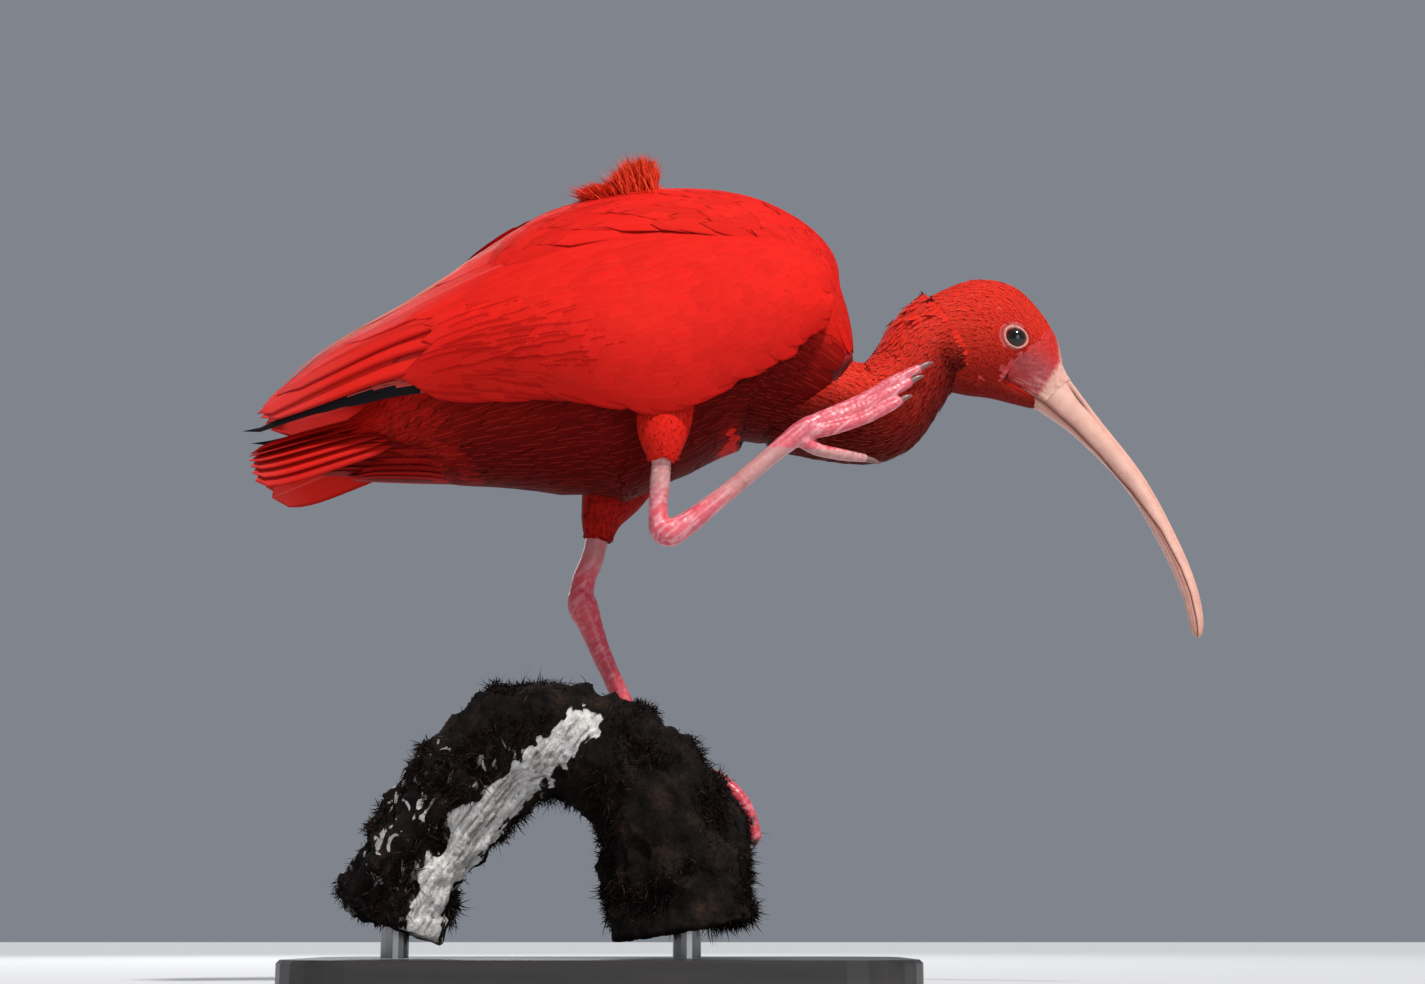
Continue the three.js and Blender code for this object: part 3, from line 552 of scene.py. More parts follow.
# Wing rows: x, then y and z of the top edge, of the middle and of the lower edge
# Tertials: where each starts and ends on the wing, its width and its lift
# Corners: where the first and the last feather of a fan start, then where they end
# Coverts: steps along and across the wing, then length and width at the shoulder and at the back
wingForm = {
    "rows": [
        (80, 30, 226, 37, 214, 38, 203), (62, 27, 243, 48, 217, 48, 186), (40, 25, 252, 53, 214, 51, 173),
        (10, 21, 259, 56, 209, 53, 159), (-20, 17, 260, 56, 207, 53, 161),
        (-50, 13, 253.5, 51, 205, 48, 168), (-80, 9, 237.5, 43, 201, 42, 169),
        (-115, 6, 215, 32, 193, 35, 168), (-150, 5, 194, 21, 179, 24, 160), (-182, 5, 166, 9, 162, 14, 153),
    ],
    "tertials": [
        (0.42, 0.7, 0.985, 0.62, 26, 1.0), (0.41, 0.54, 0.995, 0.42, 29, 1.6),
        (0.39, 0.36, 0.955, 0.32, 31, 2.2), (0.37, 0.18, 0.86, 0.2, 31, 2.7),
        (0.34, 0.02, 0.73, 0.05, 27, 3.2),
    ],
    "secondaries": {"corners": ((0.44, 0.60), (0.48, 0.97), (0.86, 0.76), (0.63, 1.0)),
                    "count": 9, "lift": 0.7, "width": 17, "blunt": 4.0},
    "primaries": {"corners": ((0.50, 0.97), (0.52, 1.0), (1.012, 0.86), (0.86, 0.985)),
                  "count": 4, "lift": -0.7, "width": 4.6, "rows": 18, "blunt": 3.4},
    # edge: a pale pink strip along the top edge of the wing, a painted highlight
    "edge": {"corners": ((0.40, 0.035), (0.60, 0.045), (0.62, 0.01), (0.93, 0.02)),
             "count": 5, "lift": 3.6, "width": 6.5, "blunt": 4.0},
    "coverts": {"steps": (0.0155, 0.062), "length": (0.060, 0.16), "width": (9.5, 20.0), "from": 0.56},
}


class WingSide:
    def __init__(self, side):
        self.side = side

    def point(self, u, v):
        rows = wingForm["rows"]
        u, v = np.broadcast_arrays(np.asarray(u, float), np.asarray(v, float))
        r = along(rows, u)
        mid = 2 * r[..., 3:5] - (r[..., 1:3] + r[..., 5:7]) / 2
        w = v[..., None]
        yz = (1 - w) ** 2 * r[..., 1:3] + 2 * w * (1 - w) * mid + w**2 * r[..., 5:7]
        x = r[..., 0] - (u - clamp(u)) * (rows[0][0] - rows[-1][0])
        return np.stack([x, self.side * yz[..., 0], yz[..., 1]], axis=-1)

    def outward(self, u, v):
        return np.array([0.0, self.side, 0.2])


wings = {name: WingSide(side) for name, side in sideSign.items()}


def wingSlab(surface, depth=6.0, reach=0.6):
    u = np.linspace(0.005, reach, 26)
    v = np.linspace(0.02, 0.98, 16)
    uu, vv = np.meshgrid(u, v, indexing="ij")
    n = facing(surface, uu, vv)
    taper = np.clip((reach - uu) / 0.25, 0.12, 1) * (0.35 + 0.65 * np.sin(np.pi * vv))
    outer = surface.point(uu, vv) - n * 0.8
    inner = surface.point(uu, vv) - n * (1.6 + depth * taper)[..., None]
    rings = np.concatenate([outer, inner[:, ::-1]], axis=1)
    rows, cols = rings.shape[:2]
    verts = np.vstack([rings.reshape(-1, 3), rings[0].mean(axis=0), rings[-1].mean(axis=0)])
    return verts, gridFaces(rows, cols) + capFaces(rows, cols)


def daylight(rise):  # painted shade: feathers, and skin, that face down are darker
    return 0.03 + 0.97 / (1 + np.exp(-(rise - 0.02) * 5.5))


skinLook = {
    "colour": (0.66, 0.012, 0.010), "voxel": 1.5, "dark": 0.10, "light": 0.5, "breastLight": 0.4,
}


def bodySkin():
    shapes = [
        loftShape(torso, 60, 48, -1.6), loftShape(neck, 30, 36, -0.9), loftShape(head, 26, 36, -0.7),
        loftShape(chin, 20, 24, -0.4), *(loftShape(thighs[name], 16, 20, -1.0) for name in sideSign),
        *(wingSlab(wings[name]) for name in sideSign),
    ]
    skin = fuse("body_skin", shapes, skinLook["voxel"], materials["skin"])
    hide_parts("torso", "neck_lower", "neck_upper", "thigh_right", "thigh_left")
    co = coordinates(skin)
    lit = daylight(vertexNormals(skin)[:, 2])[:, None]
    front = fade(co[:, 0] / mm - birdOrigin[0], 105, 125)[:, None]
    shade = skinLook["dark"] + (skinLook["light"] + skinLook["breastLight"] * front) * lit
    paint(skin, "tint", np.array(skinLook["colour"]) * shade)
    bakeMap(skin, wrapUv(co))


bodySkin()
print("skin done")


def tone(count, low=0.2, high=1.0):
    return rng.uniform(low, high, count)


# Feather rows: span and turn on the form, steps between feathers, length, lift and width in mm
around = (0, 2 * math.pi)
featherPlan = {
    "body": {"span": (-0.99, -0.05), "round": around, "steps": (0.017, 0.095), "length": 0.075,
             "sway": 0.0, "lift": 0.8, "width": 8.6, "ventWidth": 10.5},
    "mantle": {"span": (-0.93, -0.42), "round": (0.6, 2.6), "steps": (0.022, 0.10), "length": 0.10,
               "sway": 0.0, "lift": 1.5, "width": (10, 13)},
    "head": {"span": (-0.99, -0.04), "round": around, "steps": (0.0165, 0.060), "length": 0.085,
             "sway": 0.05, "lift": 0.55, "width": (1.9, 2.9)},
    "chin": {"span": (-0.86, -0.1), "round": (math.pi * 0.85, math.pi * 2.15), "steps": (0.022, 0.085),
             "length": 0.13, "sway": 0.05, "lift": 0.3, "width": (1.4, 2.3)},
    "neck": {"span": (-1.0, -0.1), "round": around, "steps": (0.014, 0.075), "length": 0.085, "sway": 0.05,
             "lift": 0.7, "width": (2.6, 3.9)},
    "thigh": {"span": (0.0, 0.93), "round": around, "steps": (0.028, 0.17), "length": 0.24, "sway": 0.0,
              "lift": 1.5, "width": (2.4, 3.8)},
}
eyeForm = {
    "x": 166.3, "side": 11.6, "z": 199.3, "radius": 5.6, "lid": 5.0, "crease": 6.0, "fold": 6.8, "bare": 6.9,
    "pupil": (0.001, 0.001, 0.001), "iris": (0.016, 0.007, 0.005), "back": (0.25, 0.05, 0.04),
}


class Reverse:  # feathers run from the head to the tail, against the rows
    def __init__(self, loft):
        self.loft = loft

    def point(self, t, a):
        return self.loft.point(-np.asarray(t, float), a)

    def outward(self, t, a):
        return self.loft.outward(-np.asarray(t, float), a)


def torsoFeathers():
    plan, turned = featherPlan["body"], Reverse(torso)

    def outside(t, a):
        p = torso.point(-t, a)
        underWing = -60 < p[0] < 55 and abs(p[1]) > 33 and 172 < p[2] < 245
        return not underWing and 0.02 < -t < 0.99
    start, end = scatter(plan, outside)
    centre, n = lay(turned, start, end, plan["lift"])
    count = len(start)
    size = np.where(start[:, 0] > -0.35, plan["ventWidth"], plan["width"]) * rng.uniform(0.85, 1.15, count)
    bright = daylight(n[:, 0, 2]) * rng.uniform(0.72, 1.0, count)
    vent = (start[:, 0] > -0.33) & (n[:, 0, 2] < 0)
    bright = np.where(vent, clamp(bright + rng.uniform(0.0, 0.16, count)), bright)
    return [(sheets(centre, n, size, camber=0.05, ragged=0.08), bright)]


def bare(p):  # the skin round the eye and before it has no feathers
    x, y, z = p
    eyeAway = math.hypot(x - eyeForm["x"], z - eyeForm["z"])
    edge = np.interp(z, [166, 172, 180, 186, 191, 198, 206, 212], [166, 163, 159, 160, 168, 178, 184, 196])
    edge += 4.5 * noise.noise(Vector((x * 0.3, y * 0.3, z * 0.55)))
    return eyeAway < eyeForm["bare"] and abs(y) > 8 or x > edge


def fine(centre, n, plan, light, narrow=1.0):
    count = len(centre)
    wide = rng.uniform(*plan["width"], count) * narrow
    return sheets(centre, n, wide, ragged=0.12, cols=3), light * tone(count, 0.8)


def headFeathers():
    curve = np.linspace(0, 1, 5) ** 2
    plan, turned = featherPlan["head"], Reverse(head)

    def feathered(t, a):
        return not bare(head.point(-t, a)) and (math.sin(a) > -0.9 or t > -0.4)
    start, end = scatter(plan, feathered)
    front = fade(turned.point(start[:, 0], start[:, 1])[:, 0], 148, 174)
    end[:, 0] = np.minimum(start[:, 0] + (end[:, 0] - start[:, 0]) * (1 - 0.5 * front), -0.004)
    centre, n = lay(turned, start, end, plan["lift"] - 0.3 * front, rows=5, sink=0.3)
    lift = np.clip(rng.normal(0, 0.22, len(start)), 0, 0.7)[:, None] * curve
    centre = centre + n * (lift * (1 - 0.8 * front)[:, None])[..., None]
    light = 0.30 + 0.70 * daylight(n[:, 0, 2] + 0.12)
    groups = [fine(centre, n, plan, light, 1 - 0.4 * front)]
    plan, turned = featherPlan["chin"], Reverse(chin)
    start, end = scatter(plan)
    centre, n = lay(turned, start, end, plan["lift"], rows=5, sink=0.4)
    groups.append(fine(centre, n, plan, 0.12 + 0.6 * daylight(n[:, 0, 2] + 0.12)))
    plan, turned = featherPlan["neck"], Reverse(neck)
    start, end = scatter(plan)
    centre, n = lay(turned, start, end, plan["lift"], rows=5)
    lift = np.clip(rng.normal(0, 0.3, len(start)), 0, 1.2)[:, None] * curve
    nape = (rng.random(len(start)) < 0.07) & (centre[:, 0, 0] > 112) & (n[:, 0, 2] > 0.3)
    lift = lift + (nape * rng.uniform(0.5, 2.2, len(start)))[:, None] * curve
    centre = centre + n * lift[..., None]
    groups.append(fine(centre, n, plan, daylight(n[:, 0, 2])))
    return groups


def thighFeathers():
    groups = []
    plan = featherPlan["thigh"]
    for name in sideSign:
        start, end = scatter(plan)
        centre, n = lay(thighs[name], start, np.minimum(end, [1.12, 9]), plan["lift"], rows=6, sink=0.6)
        # painted shade: the far (left) thigh's feathers are darker
        bright = tone(len(start), 0.75) if name == "right" else tone(len(start), 0.16, 0.4)
        wide = rng.uniform(*plan["width"], len(start))
        groups.append((sheets(centre, n, wide, ragged=0.16, cols=3), bright))
    return groups


# Tuft on the back, in mm: number, least and most width and rows of each kind, reach in x, height of the peak
tuftLook = {
    "strands": (6500, 0.5, 1.1, 5), "broad": (110, 2.5, 4.5, 6), "from": -19, "to": 2.5, "peak": 16.0,
}


def tuftFeathers():
    groups = []
    for count, narrow, wide, rows in (tuftLook["strands"], tuftLook["broad"]):
        x = rng.uniform(tuftLook["from"], tuftLook["to"], count)
        y = rng.normal(0, 6.5, count)
        peak = fade(x, -11, -6) * fade(x, 4.5, 1.5)
        rise = blend(5.5, tuftLook["peak"], peak) * rng.uniform(0.55, 1.08, count)
        back = rng.uniform(0, 6, count) + (1 - peak) * rng.uniform(1, 7, count)
        s = np.linspace(0, 1, rows)
        turn = np.pi / 2 - y / 46
        t = np.interp(x, [r[0] for r in torso.rows], np.linspace(0, 1, len(torso.rows)))
        foot = torso.point(t, turn)
        curl = rng.normal(0, 2.6, (count, 2))
        centre = foot[:, None, :] + np.stack([
            -back[:, None] * s + curl[:, :1] * s**2, (y * 0.3)[:, None] * s + curl[:, 1:] * s**2,
            -2 + (rise + 2)[:, None] * s**0.85], axis=-1)
        way = unit(np.gradient(centre, axis=1))
        aim = rng.normal(0, 0.8, (count, 1, 1))
        n = unit(np.cross(way, np.array([0.0, 1.0, 0.0]) + np.array([1.0, 0.0, 0.0]) * aim))
        n = np.where(n[..., :1] < 0, -n, n)
        points = sheets(centre, n, rng.uniform(narrow, wide, count), ragged=0.2, cols=3)
        groups.append((points, tone(count, 0.9)))
    return groups


def mantleFeathers():
    plan, turned = featherPlan["mantle"], Reverse(torso)

    def top(t, a):
        return -0.93 < t < -0.42 and abs(a - math.pi / 2) < 0.95
    start, end = scatter(plan, top)
    centre, n = lay(turned, start, end, plan["lift"], rows=7)
    wide = rng.uniform(*plan["width"], len(start))
    return [(sheets(centre, n, wide, camber=0.05, ragged=0.05), tone(len(start), 0.7))]


def fan(surface, count, corners, lift, width, rows=12, **more):
    fromA, fromB, toA, toB = (np.array(corner) for corner in corners)
    f = np.linspace(0, 1, count)[:, None]
    end = blend(toA, toB, f)
    end = end + rng.normal(0, 0.01, end.shape)
    centre, n = lay(surface, blend(fromA, fromB, f), end, lift, rows=rows, sink=1.0)
    return sheets(centre, n, np.full(count, width), camber=0.035, slope=0.06 * surface.side, ragged=0.008,
                  cols=7, ridge=0.12, **more), tone(count, 0.35)


def coverts(surface):
    spots = []
    plan = wingForm["coverts"]
    uStep, vStep = plan["steps"]
    for i, u in enumerate(np.arange(plan["from"], -0.012, -uStep)):
        for v in np.arange(-0.04 + (i % 2) * vStep / 2, 0.955, vStep):
            spots.append((u + rng.uniform(-0.007, 0.007), v + rng.uniform(-0.025, 0.025)))
    start = np.array(spots)
    count = len(start)
    back = clamp(start[:, 0] / plan["from"])
    length = blend(*plan["length"], back) * rng.uniform(0.85, 1.3, count)
    slant = (0.13 - 0.10 * back) * (1 - fade(start[:, 1], 0.55, 0.95)) * rng.uniform(0.8, 1.2, count)
    end = np.stack([start[:, 0] + length, np.minimum(start[:, 1] + slant, 0.99)], axis=1)
    centre, n = lay(surface, start, end, 1.25 + 1.7 * back**2, rows=8, sink=0.7, curl=-0.5)
    width = blend(*plan["width"], back) * rng.uniform(0.9, 1.1, count)
    # painted shade: coverts are darker towards the lower edge of the wing
    low = 1 - 0.3 * fade(start[:, 1], 0.6, 1.0)
    points = sheets(centre, n, width, camber=0.05, slope=0.02 * surface.side, ragged=0.02, cols=5)
    return points, low * tone(count, 0.8)


def wingFeathers(name):
    surface = wings[name]
    places = np.array(wingForm["tertials"])
    centre, n = lay(surface, places[:, 0:2], places[:, 2:4], places[:, 5], rows=20, sink=1.0)
    secondaries = fan(surface, **wingForm["secondaries"])
    tertials = sheets(centre, n, places[:, 4], camber=0.04, slope=0.035 * surface.side, ragged=0.006,
                      cols=9, blunt=3.6, ridge=0.15)
    flight = [secondaries, (tertials, tone(len(places), 0.8))]
    primaries = fan(surface, **wingForm["primaries"])
    piece = featherPiece("wing_flight_" + name, flight, "flight", thick=0.3)
    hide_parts("wing_" + name)
    featherPiece("wing_primaries_" + name, [primaries], "primary", thick=0.3)
    featherPiece("wing_coverts_" + name, [coverts(surface)], "covert")
    # painted highlight: a pale pink strip of feathers along the top edge of the wing
    highlightStrip = fan(surface, **wingForm["edge"])
    featherPiece("wing_edge_highlight_" + name, [highlightStrip], "edge")


# Tail, in mm: feathers, root and tip, width; under coverts as x, z, length, number, width
tailLook = {
    "feathers": 12, "root": (-112.0, 165), "tip": (-186, 148), "width": 25.0,
    "coverts": [(-104, 136.5, 60, 9, 13), (-90, 133.5, 50, 10, 13), (-114, 141, 54, 8, 12)],
}


def tailFeathers():
    count = tailLook["feathers"]
    (rootX, rootZ), (tipX, tipZ) = tailLook["root"], tailLook["tip"]
    s = np.linspace(-1, 1, count)
    a = np.abs(s)
    root = np.stack([np.full(count, rootX), s * 11, rootZ - 8 * a * a], axis=1)
    tip = np.stack([tipX + 7 * a * a, s * 21, tipZ - 15 * a**1.6], axis=1)
    n = unit(np.stack([np.full(count, 0.25), s * 0.9, np.ones(count)], axis=1))
    f = np.linspace(0, 1, 16)
    centre = blend(root[:, None], tip[:, None], f[None, :, None])
    lift = (2.8 * (1 - a))[:, None] - 3 * f[None] ** 2
    centre = centre + n[:, None] * lift[..., None]
    normal = np.repeat(n[:, None], 16, axis=1)
    points = sheets(centre, normal, np.full(count, tailLook["width"]), camber=0.015, ragged=0.0, cols=9,
                    blunt=5.0, ridge=0.12)
    piece = featherPiece("tail_feathers", [(points, tone(count, 0.55, 0.85))], "flight", thick=0.3)
    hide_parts("tail")
    groups = []
    for x0, z0, reach, number, width in tailLook["coverts"]:
        q = np.linspace(-1, 1, number)
        f = np.linspace(0, 1, 9)
        centre = np.stack([
            x0 - reach * f[None] + 6 * np.abs(q)[:, None] * f[None],
            q[:, None] * (16 - 6 * f[None]),
            z0 + 8 * (q**2)[:, None] + 1.5 * f[None],
        ], axis=-1)
        n = unit(np.stack([np.zeros(number), q * 0.6, -np.ones(number)], axis=1))
        points = sheets(centre, np.repeat(n[:, None], 9, axis=1), np.full(number, width), ragged=0.05)
        # painted shade: the under tail coverts are dark
        groups.append((points, tone(number, 0.06, 0.3)))
    featherPiece("tail_coverts", groups, "contour")


featherPiece("body_feathers", torsoFeathers(), "contour")
featherPiece("mantle_feathers", mantleFeathers(), "covert")
featherPiece("back_tuft", tuftFeathers(), "tuft")
featherPiece("head_feathers", headFeathers(), "head")
featherPiece("thigh_feathers", thighFeathers(), "contour")
for wingName in sideSign:
    wingFeathers(wingName)
tailFeathers()
print("feathers done")


# Face, eyes and bill
# Lines as x and z in mm; colours are linear
faceForm = {
    "mouth": [
        (158, 181.2), (164, 179.4), (172, 175.6), (180, 170.4), (193, 159.2), (205, 146.6), (219, 129.6),
        (231.5, 111), (240, 93.5), (243.9, 82), (246.2, 70), (247.4, 56),
    ],
    "folds": [(148, 183), (156, 179), (163, 176.5), (170, 172)],
    "lowerCrease": [(150, 176), (158, 174.5), (166, 172.5), (174, 169.5)],
    "lores": [(170, 188), (180, 184), (176, 177)],
    "onBill": 0.165,
}
faceColours = {
    "red": (0.58, 0.020, 0.016), "mauve": (0.40, 0.060, 0.070), "pale": (0.80, 0.34, 0.32),
    "dark": (0.14, 0.012, 0.016), "horn": (0.78, 0.45, 0.37), "ring": (0.80, 0.42, 0.36),
}


def faceSkin():
    rings, sides = 150, 190
    t, a = ringGrid(rings, sides, 0.25)
    p = head.point(t, a)
    n = facing(head, np.clip(t, 0, 0.985), a)
    join = fade(t, 0.93, 1.0)  # the last rings close onto the bill
    join = join * join * (3 - 2 * join)
    onBill = bill.point(np.full(len(t), faceForm["onBill"]), a, 0.2)
    p = blend(p, onBill, join[:, None])
    dx, dz = p[:, 0] - eyeForm["x"], p[:, 2] - eyeForm["z"]
    flank = np.abs(p[:, 1]) > 7
    r = np.hypot(dx * 0.94, dz * 1.06 + 0.16 * dx)
    lid = bell(r - eyeForm["lid"], 0.7)
    second = bell(r - eyeForm["fold"], 0.7) * np.clip(0.5 - 0.1 * dx + 0.08 * dz, 0.15, 1)
    crease = bell(r - eyeForm["crease"], 0.45)
    push = np.where(flank, 1.5 * lid + 0.35 * second - 0.5 * crease - 4.0 * bell(r, 3.7), 0.0)
    gape = nearLine(p, faceForm["mouth"])
    reach = fade(p[:, 0], 159, 169)
    push += reach * (-1.1 * bell(gape, 0.7) + 0.7 * bell(gape - 1.8, 0.9))
    folds, lower = nearLine(p, faceForm["folds"]), nearLine(p, faceForm["lowerCrease"])
    push += 0.6 * bell(folds, 0.9) - 0.4 * bell(lower, 0.7)
    push += rough(p * (0.25, 0.5, 0.9)) * (0.18 + 0.3 * fade(p[:, 2], 186, 174))
    p = p + n * push[:, None]
    piece = newPiece("face_skin", toWorld(p), gridFaces(rings, sides), materials["face"])
    red, mauve, pale, dark, horn, ringColour = (np.array(colour) for colour in faceColours.values())
    x, y, z = p.T
    streaks = rough(np.stack([x * 0.10 - z * 0.05, y * 0.4, (z + 0.45 * x) * 0.95], axis=1))
    grain = rough(p * 1.3)
    lores = 0.85 * bell(nearLine(p, faceForm["lores"]) * (1 - 0.3 * grain), 6.5)[:, None]
    colour = blend(red, mauve, lores) * (1 + 0.35 * grain[:, None])
    jaw = fade(z, 186, 180) * fade(z, 172.5, 176.5) * fade(x, 142, 150)
    colour = blend(colour, pale, (clamp(streaks * 2.6) * jaw * 0.62)[:, None])
    colour = blend(colour, dark, fade(z, 176, 171)[:, None] * 0.75)
    hornEdge = np.interp(z, [166, 171, 176, 183, 190], [171, 174, 177.5, 182.5, 186.5]) + 1.6 * grain
    colour = blend(colour, horn * (1 + 0.1 * grain[:, None]), clamp((x - hornEdge) / 2.4)[:, None])
    colour = blend(colour, ringColour, (flank * clamp(lid + 0.12 * second))[:, None])
    # dark along the gape line, and painted shade in the crease round the eye
    gap = clamp(reach * bell(gape, 0.7) + flank * crease * 0.45)[:, None]
    paint(piece, "tint", blend(colour, dark, gap))
    bakeMap(piece, wrapUv(toWorld(p)))
    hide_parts("head")


def eyeMaterial():
    material = tintedMaterial("EyeBall", 0.16, [], specular=0.3, coat=0.5,
                              tintNoise=(900.0, (0.7, 0.7, 0.7), (1.3, 1.2, 1.1)))
    dial(material.node_tree.nodes["Principled BSDF"], Coat_Roughness=0.06)
    return material


def eyes():
    rings, sides = 26, 40
    material = eyeMaterial()
    for name, side in sideSign.items():
        th = np.repeat(np.linspace(0.02, math.pi - 0.02, rings), sides)
        ph = ringGrid(rings, sides)[1]
        centre = np.array([eyeForm["x"], side * eyeForm["side"], eyeForm["z"]])
        way = np.stack([np.sin(th) * np.cos(ph), side * np.cos(th), np.sin(th) * np.sin(ph)], axis=1)
        verts = centre + way * eyeForm["radius"]
        piece = newPiece("eye_ball_" + name, toWorld(verts), gridFaces(rings, sides), material)
        shade = np.where((th < 0.42)[:, None], eyeForm["pupil"], eyeForm["iris"])
        paint(piece, "tint", np.where((th > 1.0)[:, None], eyeForm["back"], shade))
        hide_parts("eye_" + name)


# Groove: depth in mm, and the angle where it runs. Nostril: share of the length, and depth in mm
billLook = {
    "groove": 0.35, "grooveAt": 0.75, "nostrilAt": 0.205, "nostril": 1.3, "gap": 0.12,
    "cream": (0.80, 0.47, 0.38), "pink": (0.72, 0.27, 0.22), "tip": (0.50, 0.26, 0.19),
    "base": (0.70, 0.38, 0.32), "mouth": (0.22, 0.09, 0.06), "dark": (0.06, 0.012, 0.012),
}


def billHalf(name, upper, node):
    rings, steps = 130, 22
    ts = np.linspace(0.0, 1.0, rings)
    r, way, _, up = bill.frame(ts)
    line = np.array([(x, 0, z) for x, z in faceForm["mouth"]])
    height = []
    for k in range(rings):
        rel = line - r[k, :3]
        ahead = rel @ way[k]
        order = np.argsort(ahead)
        height.append(np.interp(0.0, ahead[order], (rel @ up[k])[order]))
    height = np.array(height) + (billLook["gap"] if upper else -billLook["gap"])
    seam = np.arcsin(np.clip(height / np.where(height > 0, r[:, 4], r[:, 5]), -0.98, 0.98))
    cream, pink, tip, base, mouth, dark = (
        np.array(billLook[part]) for part in ("cream", "pink", "tip", "base", "mouth", "dark"))
    points, tint = [], []
    for k, t in enumerate(ts):
        lo, hi = (seam[k], math.pi - seam[k]) if upper else (math.pi - seam[k], 2 * math.pi + seam[k])
        a = np.linspace(lo, hi, steps)
        p = bill.point(np.full(steps, t), a)
        turn = a if upper else a - math.pi
        g = np.minimum(np.abs(turn - billLook["grooveAt"]), np.abs(turn - math.pi + billLook["grooveAt"]))
        fadeOut = math.sin(math.pi * min(1, max(0, (t - 0.08) / 0.9)))
        push = -billLook["groove"] * fadeOut * bell(g, 0.16) * min(1.0, r[k, 3] / 4)
        slit = np.zeros(steps)
        if upper:
            slit = bell(t - billLook["nostrilAt"], 0.028) * bell(g * r[k, 3], 0.85)
        points.append(p + unit(p - r[k, :3]) * (push - billLook["nostril"] * slit)[:, None])
        fromSeam = np.minimum(a - lo, hi - a)
        edge = clamp(fromSeam / 0.35)[:, None]
        c = blend(blend(cream, pink, 0.8), cream, edge)
        c = blend(c, pink, 0.5 * bell(g, 0.14)[:, None])
        c = blend(c, tip, fade(t, 0.62, 1.0) * 0.7)
        c = blend(c, base, fade(t, 0.16, 0.0) * 0.8)
        c = blend(c, mouth, bell(fromSeam, 0.1)[:, None] * 0.75)
        # painted shade: the nostril slit is darkened
        tint.append(blend(c, dark, clamp(slit * 1.3)[:, None]))
    verts = np.vstack(points + [points[0].mean(axis=0)[None], points[-1].mean(axis=0)[None]])
    faces = gridFaces(rings, steps) + capFaces(rings, steps)
    piece = newPiece(name, toWorld(verts), faces, materials["bill"])
    paint(piece, "tint", np.vstack(tint + [tint[0][:1], tint[-1][:1]]))
    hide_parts(node)


faceSkin()
eyes()
billHalf("bill_top", True, "bill_upper")
billHalf("bill_bottom", False, "bill_lower")
print("head done")


# Legs, toes and claws
# Rows are x, y, z and radius in mm. Grip, for each toe of the standing foot: angle where it starts and
# where it ends round the branch, y of its tip, turn and side step of its claw. Scute: spacing of the scales
legForm = {
    "legs": {
        "right": [
            [
                (4.6, -42, 140, 4.2), (3.8, -42, 126, 4.5), (3, -42, 114.5, 4.2), (3.6, -42, 105.5, 4.9),
                (4.8, -42, 102, 4.4),
            ],
            [
                (2.8, -42, 107, 4.6), (7.2, -42, 102.9, 6.2), (14.6, -41.2, 106.4, 5.4),
                (26, -39.8, 115.4, 4.4), (42, -37.5, 129.2, 4.0), (57, -35.4, 142.4, 4.3),
                (67, -34, 150.8, 4.9), (73, -33.2, 155, 3.9),
            ],
        ],
        "left": [
            [
                (-26, 22, 118, 4.6), (-29, 21.5, 103, 4.6), (-33, 21, 92, 4.8), (-34.5, 20, 82, 5.4),
            ],
            [
                (-34.8, 20, 86, 4.9), (-33, 20, 78.5, 6.4), (-29.5, 20, 70, 5), (-24, 19, 56, 4),
                (-14, 18, 34.5, 3.7), (-4, 16.6, 13, 4), (0.5, 16, 4.5, 5.2), (2, 16, 1, 4),
            ],
        ],
    },
    "liftedToes": {
        "middle": [
            (68, -34, 152.5, 3.9), (80, -32, 158.8, 3.3), (94, -30, 166, 2.8), (108, -27.6, 174.4, 3),
            (121, -25.2, 182, 2.1),
        ],
        "inner": [
            (68, -34, 151.5, 3.6), (80, -33, 156, 3), (96, -31, 163, 2.6), (108, -28.6, 169.8, 2.7),
            (117, -27, 175.4, 1.9),
        ],
        "outer": [
            (68, -34.4, 150, 3.6), (80, -34.6, 151.5, 3), (94, -33.4, 156, 2.6), (106, -31, 162.4, 2.6),
            (112, -29.6, 166, 1.9),
        ],
        "hind": [
            (66, -34, 147, 3.6), (74, -32.6, 142.5, 3), (86, -30, 140.4, 2.6), (96, -27.6, 139.4, 1.9),
        ],
    },
    "liftedClaws": {
        "middle": [(119, -25.4, 180.8, 1.9), (126, -24.2, 185, 1.4), (130.3, -23.8, 186.4, 0.4)],
        "inner": [(115, -27.2, 174.2, 1.8), (121.6, -26.4, 178.2, 1.3), (125.6, -26, 179.4, 0.4)],
        "outer": [(110, -29.8, 164.8, 1.8), (116, -29, 168.4, 1.3), (119.6, -28.6, 169.4, 0.4)],
        "hind": [(94, -27.8, 139.4, 1.8), (101, -26.4, 138.4, 1.3), (105.4, -25.8, 136.4, 0.4)],
    },
    "branch": {"x": 14, "z": -31, "radius": 30},
    "grip": {
        "middle": (108, 6, 16, -8, 0),
        "inner": (108, 22, 2, -8, -0.6),
        "outer": (108, 26, 31, -8, 0.6),
        "hind": (114, 160, 18, 8, 0),
    },
    "scute": 2.3,
    "scuteDepth": 0.13,
    "stout": {"right": 0.0, "left": 0.7},
    "clawShare": 0.72,
}
legColours = {
    "pink": (0.78, 0.20, 0.25), "rose": (0.64, 0.06, 0.085), "grey": (0.50, 0.32, 0.29),
    # pale is the colour of the painted highlights
    "pale": (0.84, 0.46, 0.50), "claw": (0.20, 0.095, 0.09),
    # tint darkens the far (left) leg, a painted shade
    "tint": {"right": (1, 1, 1), "left": (0.85, 0.55, 0.6)},
}


def ringPoint(angle, y, radius, out):
    branch = legForm["branch"]
    reach = branch["radius"] + 2.7 + out
    a = math.radians(angle)
    return (branch["x"] + reach * math.cos(a), y, branch["z"] + reach * math.sin(a), radius)


